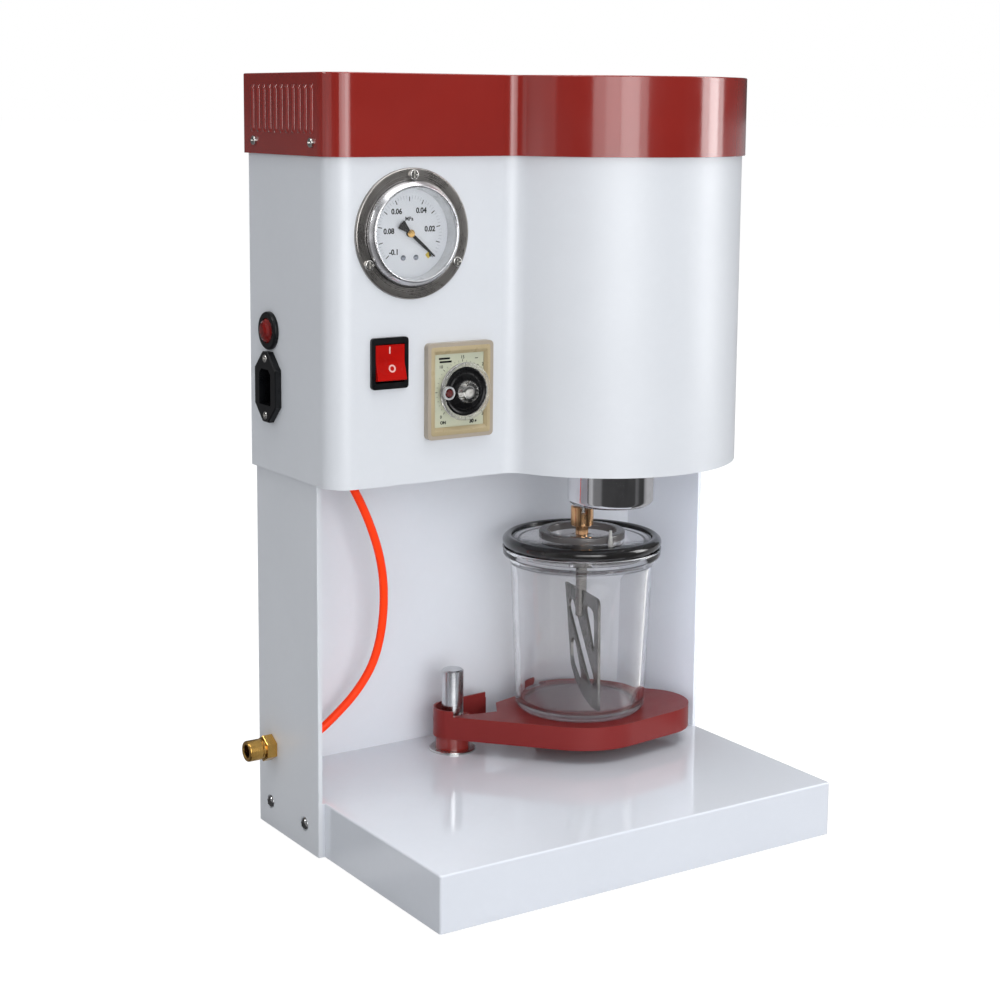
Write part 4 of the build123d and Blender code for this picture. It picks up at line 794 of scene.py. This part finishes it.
# ------------------------------------------------------------------ column screws: domed heads in their counterbores, with black slabs on the domes as painted shade of the cross recesses
caps = []
crosses = []
for cy_ in (20.2, 71.3):
    for side in (-1, 1):
        x_ = lambda t, side=side: t if side < 0 else COL_W - t
        dome = [(0.0, x_(-1.75)), (1.3, x_(-1.68)), (2.4, x_(-1.40)), (3.3, x_(-0.92)), (3.95, x_(-0.30)), (4.25, x_(0.35)), (4.3, x_(0.9)), (0.0, x_(0.9))]
        caps.append(lathe_mesh("cap", dome, (cy_, 18.3), "X", 64))
        # each cross is a black slab on the dome, not a cut recess: painted shade
        for a_ in (0.5, 0.5 + math.pi / 2):
            loop = [(cy_ + q * math.cos(a_) - w * math.sin(a_), 18.3 + q * math.sin(a_) + w * math.cos(a_)) for q, w in ((-2.1, -0.36), (2.1, -0.36), (2.1, 0.36), (-2.1, 0.36))]
            crosses.append(prism_mesh("cross", loop, min(x_(-1.80), x_(-1.2)), max(x_(-1.80), x_(-1.2)), "X"))
put("column_screw_heads", join("column_screw_heads", caps), "screw_dark", "housing", ("column_screws",), 40)
put("column_screw_recess_painted_shade", join("column_screw_recess_painted_shade", crosses), "screw_cross", "housing", angle=None)

# ------------------------------------------------------------------ pressed louvre hoods along the cover's vents
hoods = []
XC = XL - 2.2
for k in range(11):
    yc = 78.5 - 8.35 * k
    bm = bmesh.new()
    rings = []
    nz_, na = 22, 8
    for i in range(nz_ + 1):
        q = i / nz_
        z = 485.2 + q * (516.3 - 485.2)
        e = min(1.0, min(q, 1 - q) / 0.10)
        h = 1.25 * math.sin(e * math.pi / 2)
        ring = []
        for t_ in range(na + 1):
            a = math.pi * t_ / na
            yy = yc + 1.2 - 2.2 * math.cos(a) - 1.0
            ring.append(bm.verts.new(V(XC - 0.02 - h * math.sin(a), yy, z)))
        for t_ in range(na, -1, -1):
            a = math.pi * t_ / na
            yy = yc + 1.2 - 1.7 * math.cos(a) - 1.0
            ring.append(bm.verts.new(V(XC + 0.25 - max(0.0, h - 0.1) * math.sin(a), yy, z)))
        rings.append(ring)
    n_ = len(rings[0])
    for i in range(nz_):
        for j in range(n_):
            jj = (j + 1) % n_
            bm.faces.new((rings[i][j], rings[i][jj], rings[i + 1][jj], rings[i + 1][j]))
    bm.faces.new(rings[0][::-1])
    bm.faces.new(rings[-1])
    bmesh.ops.recalc_face_normals(bm, faces=bm.faces)
    me = bpy.data.meshes.new("hood")
    bm.to_mesh(me)
    bm.free()
    hoods.append(me)
put("cover_louvres", join("cover_louvres", hoods), "red", "housing", angle=50)

# ------------------------------------------------------------------ vacuum tube as one smooth curve
TUBE = [(34.0, 49.5, 283.0), (47.5, 51.0, 255.0), (67.5, 52.5, 220.0), (81.0, 54.5, 183.0), (84.5, 58.0, 147.0),
        (79.5, 60.5, 114.0), (67.0, 64.0, 91.0), (48.5, 67.5, 72.5), (31.0, 68.5, 60.0), (10.5, 68.5, 59.0)]


def nurbs_tube(name, pts, radius, key, body, replaces):
    c = bpy.data.curves.new(name, "CURVE")
    c.dimensions = "3D"
    sp = c.splines.new("NURBS")
    sp.points.add(len(pts) - 1)
    for q, p in zip(sp.points, pts):
        q.co = (*V(*p), 1)
    sp.order_u = 3
    sp.use_endpoint_u = True
    c.bevel_depth = radius / 1000
    c.bevel_resolution = 8
    c.resolution_u = 16
    c.use_fill_caps = True
    o = bpy.data.objects.new(name, c)
    bpy.context.scene.collection.objects.link(o)
    c.materials.append(M[key])
    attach(o, body)
    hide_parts(replaces)
    return o


tube_o = nurbs_tube("vacuum_tube_curve", TUBE, 3.0, "tube", "housing", "vacuum_tube")

# ------------------------------------------------------------------ cup, lid, gasket
CB = 66.3
cupp = round_prof([(0.0, CB + 0.5), (40.0, CB + 0.5, 1.0), (42.0, CB, 0.6), (44.9, CB, 0.8), (47.5, CB + 2.6, 1.6), (51.6, 168.0, 3.0), (52.4, 175.5, 3.0), (55.6, 179.2, 2.0), (57.6, 181.0, 1.2), (58.0, 186.9, 0.8),
                  (48.6, 186.9, 0.6), (48.2, 176.0, 2.0), (47.6, 168.0, 3.0), (43.6, CB + 7.0, 3.5), (39.0, CB + 3.9, 3.0), (0.0, CB + 3.8)], 6)
cup_me = lathe_mesh("cup_clear", cupp, CUP, "Z", 192)
cup_o = put("cup_clear", cup_me, ("cup", "cup_painted_shade_foot"), "cup_assembly", ("cup",), 40)
cup_o.visible_shadow = False
# the lowest polygons of the one-piece cup take the darker copy: painted shade at the foot
for poly in cup_me.polygons:
    if poly.center.z < (CB + 5.5) / 1000:
        poly.material_index = 1
gk = round_prof([(48.9, 187.05, 0.3), (56.6, 187.05, 1.6), (58.0, 189.5, 2.0), (57.9, 192.6, 2.6), (54.6, 195.4, 2.4), (51.4, 194.6, 1.2), (51.3, 193.6, 0.3), (51.3, 188.2, 0.5)], 7)
put("gasket_ring", lathe_mesh("gasket_ring", gk, CUP, "Z", 192), "rubber_gloss", "cup_assembly", ("lid_gasket",), 50)
ldp = round_prof([(6.1, 181.0), (45.8, 181.0, 1.2), (46.0, 187.0, 0.3), (51.2, 187.1, 0.2), (51.2, 193.3, 0.7), (31.6, 193.5), (6.1, 193.5)], 5)
put("lid_clear", lathe_mesh("lid_clear", ldp, CUP, "Z", 192), "lid", "cup_assembly", ("cup_lid",), 40)
bsr = round_prof([(24.8, 193.55), (31.4, 193.55), (31.2, 198.6, 1.0), (25.2, 198.6, 1.0)], 5)
put("lid_boss_ring", lathe_mesh("lid_boss_ring", bsr, CUP, "Z", 160), "lid_boss", "cup_assembly", angle=40)
bsp = round_prof([(4.15, 181.0), (6.0, 181.0), (6.0, 193.55), (8.6, 193.6, 0.3), (8.8, 194.4, 0.4), (6.0, 194.5, 0.2), (5.6, 194.92, 0.3), (4.15, 194.92, 0.2)], 3)
put("lid_bush_turned", lathe_mesh("lid_bush_turned", bsp, CUP, "Z", 96), "steel", "cup_assembly", ("lid_bush",), 40)
NIP = (CUP[0] + 0.6, CUP[1] - 34.2)
npp = round_prof([(0.5, 187.6), (1.55, 187.6), (1.55, 193.6), (1.75, 193.7, 0.1), (1.7, 195.0, 0.2), (1.45, 197.6, 0.2), (1.5, 198.0, 0.1), (1.15, 200.4, 0.2), (1.2, 200.8, 0.1), (0.85, 203.8, 0.3), (0.5, 203.8, 0.1)], 3)
put("lid_nipple_barbed", lathe_mesh("lid_nipple_barbed", npp, NIP, "Z", 48), "nipple", "cup_assembly", ("lid_nipple",), 35)

# ------------------------------------------------------------------ brass fitting: plain turned barrel, hexagon, thread inside
FY, FZ = 68.5, 59.0
prof = round_prof([(4.5, -19.4), (4.9, -20.0), (6.8, -20.0, 0.4), (7.3, -19.2, 0.5), (7.3, -10.2, 0.5), (6.8, -9.4, 0.3), (6.8, -7.4), (4.5, -7.4)], 4)
brl = lathe_mesh("barrel", prof, (FY, FZ), "X", 128)
hx = [(FY + 9.35 * math.cos(math.radians(30 + 60 * k)), FZ + 9.35 * math.sin(math.radians(30 + 60 * k))) for k in range(6)]
hex_ = prism_mesh("hex", hx, -7.4, -0.02, "X", 0.5, 3)
inner = [(1.6, -7.4), (7.0, -7.4), (7.0, 0.0)]
x = 3.4
while x < 13.6:
    inner += [(7.0, x), (6.6, x + 0.3), (7.0, x + 0.6)]
    x += 0.75
inner += [(6.6, 14.5), (3.05, 14.5), (3.05, 10.5), (1.6, 10.5)]
tail = lathe_mesh("tail", inner, (FY, FZ), "X", 96)
put("fitting_turned", join("fitting_turned", [brl, hex_, tail]), "brass_x", "housing", ("bulkhead_fitting",), 25)

# ------------------------------------------------------------------ stage and light
def plane(name, z, size=60.0):
    me = bpy.data.meshes.new(name)
    me.from_pydata([(-size, -size, z), (size, -size, z), (size, size, z), (-size, size, z)], [], [(0, 1, 2, 3)])
    o = bpy.data.objects.new(name, me)
    bpy.context.scene.collection.objects.link(o)
    return o


# pale floor as it looks: lit paper white with a trace of contact shadow
floor_o = plane("studio_floor", -0.0005)
kf = NT("studio_floor")
kf.link(kf.ramp(kf.noise(1.5, 3.0, 0.5), [(0.3, (0.20, 0.20, 0.20)), (0.7, (0.21, 0.21, 0.21))]), kf.b.inputs["Base Color"])
kf.set(Roughness=0.9)
kf.b.inputs["Specular IOR Level"].default_value = 0.0
kf.b.inputs["Emission Color"].default_value = (1, 1, 1, 1)
kf.b.inputs["Emission Strength"].default_value = 0.92
floor_o.data.materials.append(kf.m)
floor_o.visible_glossy = False
floor_o.visible_diffuse = False
floor_o.visible_shadow = False
# the same floor as matt surfaces are lit by it
floor_l = plane("studio_floor_bounce", -0.001)
kl = NT("studio_floor_bounce")
kl.link(kl.ramp(kl.noise(1.5, 3.0, 0.5), [(0.3, (0.48, 0.48, 0.49)), (0.7, (0.52, 0.52, 0.53))]), kl.b.inputs["Base Color"])
kl.set(Roughness=0.9)
floor_l.data.materials.append(kl.m)
for a in ("visible_camera", "visible_glossy", "visible_transmission", "visible_shadow"):
    setattr(floor_l, a, False)
# and as polished surfaces see it: grey, with the shadows and light pools of a bench top round the machine
floor_g = plane("studio_floor_gloss", -0.002)
kg = NT("studio_floor_gloss")
sub = kg.n("ShaderNodeVectorMath", operation="SUBTRACT")
kg.link(kg.tc.outputs["Object"], sub.inputs[0])
sub.inputs[1].default_value = V(222, -24, 0)
gr = kg.n("ShaderNodeTexGradient", gradient_type="RADIAL")
kg.link(sub.outputs[0], gr.inputs[0])


def azp(deg):
    return ((deg + 180.0) % 360.0) / 360.0


BENCH = [(-180, 0.55), (-176, 0.55), (-172, 0.25), (-168, 0.22), (-153, 0.20), (-147, 0.06), (-120, 0.045), (-90, 0.048), (-60, 0.05), (-56, 0.15), (-50, 0.13), (-44, 0.05), (-30, 0.04),
         (-24, 0.35), (-13, 0.55), (20, 0.5), (50, 0.18), (80, 0.14), (104, 0.19), (135, 0.20), (150, 0.18), (158, 0.10), (172, 0.07), (176, 0.50)]
wave = None
ordered = sorted(BENCH, key=lambda q: azp(q[0]))
cr = kg.n("ShaderNodeValToRGB")
el = cr.color_ramp.elements
while len(el) < len(ordered):
    el.new(0.5)
for e, (q, v) in zip(el, ordered):
    e.position = azp(q)
    e.color = (v, v, v * 1.03, 1)
kg.link(gr.outputs["Fac"], cr.inputs["Fac"])
kg.b.inputs["Base Color"].default_value = (0, 0, 0, 1)
kg.link(kg.mix(kg.remap(kg.noise(2.0, 3.0, 0.5), 0.0, 0.12, 0.3, 0.7), cr.outputs["Color"], (0.2, 0.2, 0.2)), kg.b.inputs["Emission Color"])
kg.b.inputs["Emission Strength"].default_value = 1.0
kg.b.inputs["Specular IOR Level"].default_value = 0.0
floor_g.data.materials.append(kg.m)
for a in ("visible_camera", "visible_diffuse", "visible_transmission", "visible_shadow"):
    setattr(floor_g, a, False)

world = bpy.data.worlds.new("studio")
bpy.context.scene.world = world
world.use_nodes = True
wt = world.node_tree
wt.nodes.clear()
wo = wt.nodes.new("ShaderNodeOutputWorld")
b_white = wt.nodes.new("ShaderNodeBackground")
b_gloss = wt.nodes.new("ShaderNodeBackground")
b_matt = wt.nodes.new("ShaderNodeBackground")
mix1 = wt.nodes.new("ShaderNodeMixShader")
mix2 = wt.nodes.new("ShaderNodeMixShader")
lp = wt.nodes.new("ShaderNodeLightPath")
tc = wt.nodes.new("ShaderNodeTexCoord")
sx = wt.nodes.new("ShaderNodeSeparateXYZ")
wt.links.new(tc.outputs["Generated"], sx.inputs[0])


def wmap(sock, f0, f1, t0, t1):
    r = wt.nodes.new("ShaderNodeMapRange")
    r.inputs["From Min"].default_value = f0
    r.inputs["From Max"].default_value = f1
    r.inputs["To Min"].default_value = t0
    r.inputs["To Max"].default_value = t1
    wt.links.new(sock, r.inputs["Value"])
    return r.outputs[0]


ad = wt.nodes.new("ShaderNodeMath")
ad.operation = "ADD"
wt.links.new(wmap(sx.outputs[2], 0.15, 0.9, 0.0, ROOM_TOP), ad.inputs[0])
wt.links.new(wmap(sx.outputs[1], -0.2, 0.75, ROOM_FRONT, ROOM_BACK), ad.inputs[1])
wt.links.new(ad.outputs[0], b_gloss.inputs[1])
b_gloss.inputs[0].default_value = (0.96, 0.98, 1.0, 1)
b_matt.inputs[0].default_value = (0.93, 0.965, 1.0, 1)
b_matt.inputs[1].default_value = FILL_SKY
b_white.inputs[0].default_value = (1, 1, 1, 1)
b_white.inputs[1].default_value = 1.0
wt.links.new(lp.outputs["Is Diffuse Ray"], mix1.inputs[0])
wt.links.new(b_gloss.outputs[0], mix1.inputs[1])
wt.links.new(b_matt.outputs[0], mix1.inputs[2])
wt.links.new(lp.outputs["Is Camera Ray"], mix2.inputs[0])
wt.links.new(mix1.outputs[0], mix2.inputs[1])
wt.links.new(b_white.outputs[0], mix2.inputs[2])
wt.links.new(mix2.outputs[0], wo.inputs[0])


def softbox(name, loc, target, w, h, radiance, glossy=True, diffuse=True, color=(1, 1, 1)):
    L = bpy.data.lights.new(name, "AREA")
    L.shape = "RECTANGLE"
    L.size = w
    L.size_y = h
    L.energy = radiance * math.pi * w * h
    L.color = color
    o = bpy.data.objects.new(name, L)
    bpy.context.scene.collection.objects.link(o)
    o.location = loc
    o.rotation_euler = (Vector(target) - Vector(loc)).to_track_quat("-Z", "Y").to_euler()
    o.visible_camera = False
    o.visible_glossy = glossy
    o.visible_diffuse = diffuse
    o.visible_transmission = False
    return o


MID = V(160, 0, 0)
for name, az, wd, rad in STRIPS:
    a, dist, z0, z1 = math.radians(az), 2.3, 0.02, 1.9
    loc = (MID.x + dist * math.cos(a), MID.y + dist * math.sin(a), (z0 + z1) / 2)
    softbox(name, loc, (MID.x, MID.y, (z0 + z1) / 2), 2 * dist * math.tan(math.radians(wd / 2)), z1 - z0, rad, True, False)
for name, az, elv, dist, sz, rad in FILLS:
    a, e = math.radians(az), math.radians(elv)
    loc = (MID.x + dist * math.cos(a) * math.cos(e), MID.y + dist * math.sin(a) * math.cos(e), 0.25 + dist * math.sin(e))
    softbox(name, loc, (MID.x, MID.y, 0.25), sz, sz, rad, False, True, (0.955, 0.978, 1.0))
softbox("overhead", (0.1, -0.4, 2.4), (0.05, 0.0, 0.2), 2.2, 1.6, OVERHEAD / (math.pi * 2.2 * 1.6), True, True)


def only_on(o, name, *nodes):
    """A reflector card whose light reaches these pieces alone."""
    col = bpy.data.collections.new(name)
    for q in nodes:
        col.objects.link(N[q])
    o.light_linking.receiver_collection = col


bay = softbox("bay_card", V(-300, -700, 260), V(250, 60, 150), 0.8, 0.8, 1.3, False, True, (0.90, 0.95, 1.08))
only_on(bay, "bay_card_on", "column_back_panel", "column_right_panel")
inner = softbox("bay_side_card", V(-300, -700, 260), V(311, 20, 150), 0.8, 0.8, 3.5, False, True, (0.90, 0.95, 1.08))
only_on(inner, "bay_side_card_on", "column_right_panel")
tube_card = softbox("tube_card", V(-300, -700, 260), V(70, 50, 150), 0.8, 0.8, 2.2, False, True)
tcol = bpy.data.collections.new("tube_card_on")
tcol.objects.link(tube_o)
tube_card.light_linking.receiver_collection = tcol
low = softbox("base_card", (MID.x + 0.40, MID.y - 1.08, 1.0), V(200, -20, 40), 1.2, 1.2, 0.75, False, True, (0.92, 0.96, 1.05))
only_on(low, "base_card_on", "base_shell")
softbox("window", (MID.x - 1.6, MID.y + 0.5, 1.25), (MID.x, MID.y, 0.2), 0.35, 0.5, 14.0, True, False)
bpy.context.scene.view_settings.view_transform = "Standard"
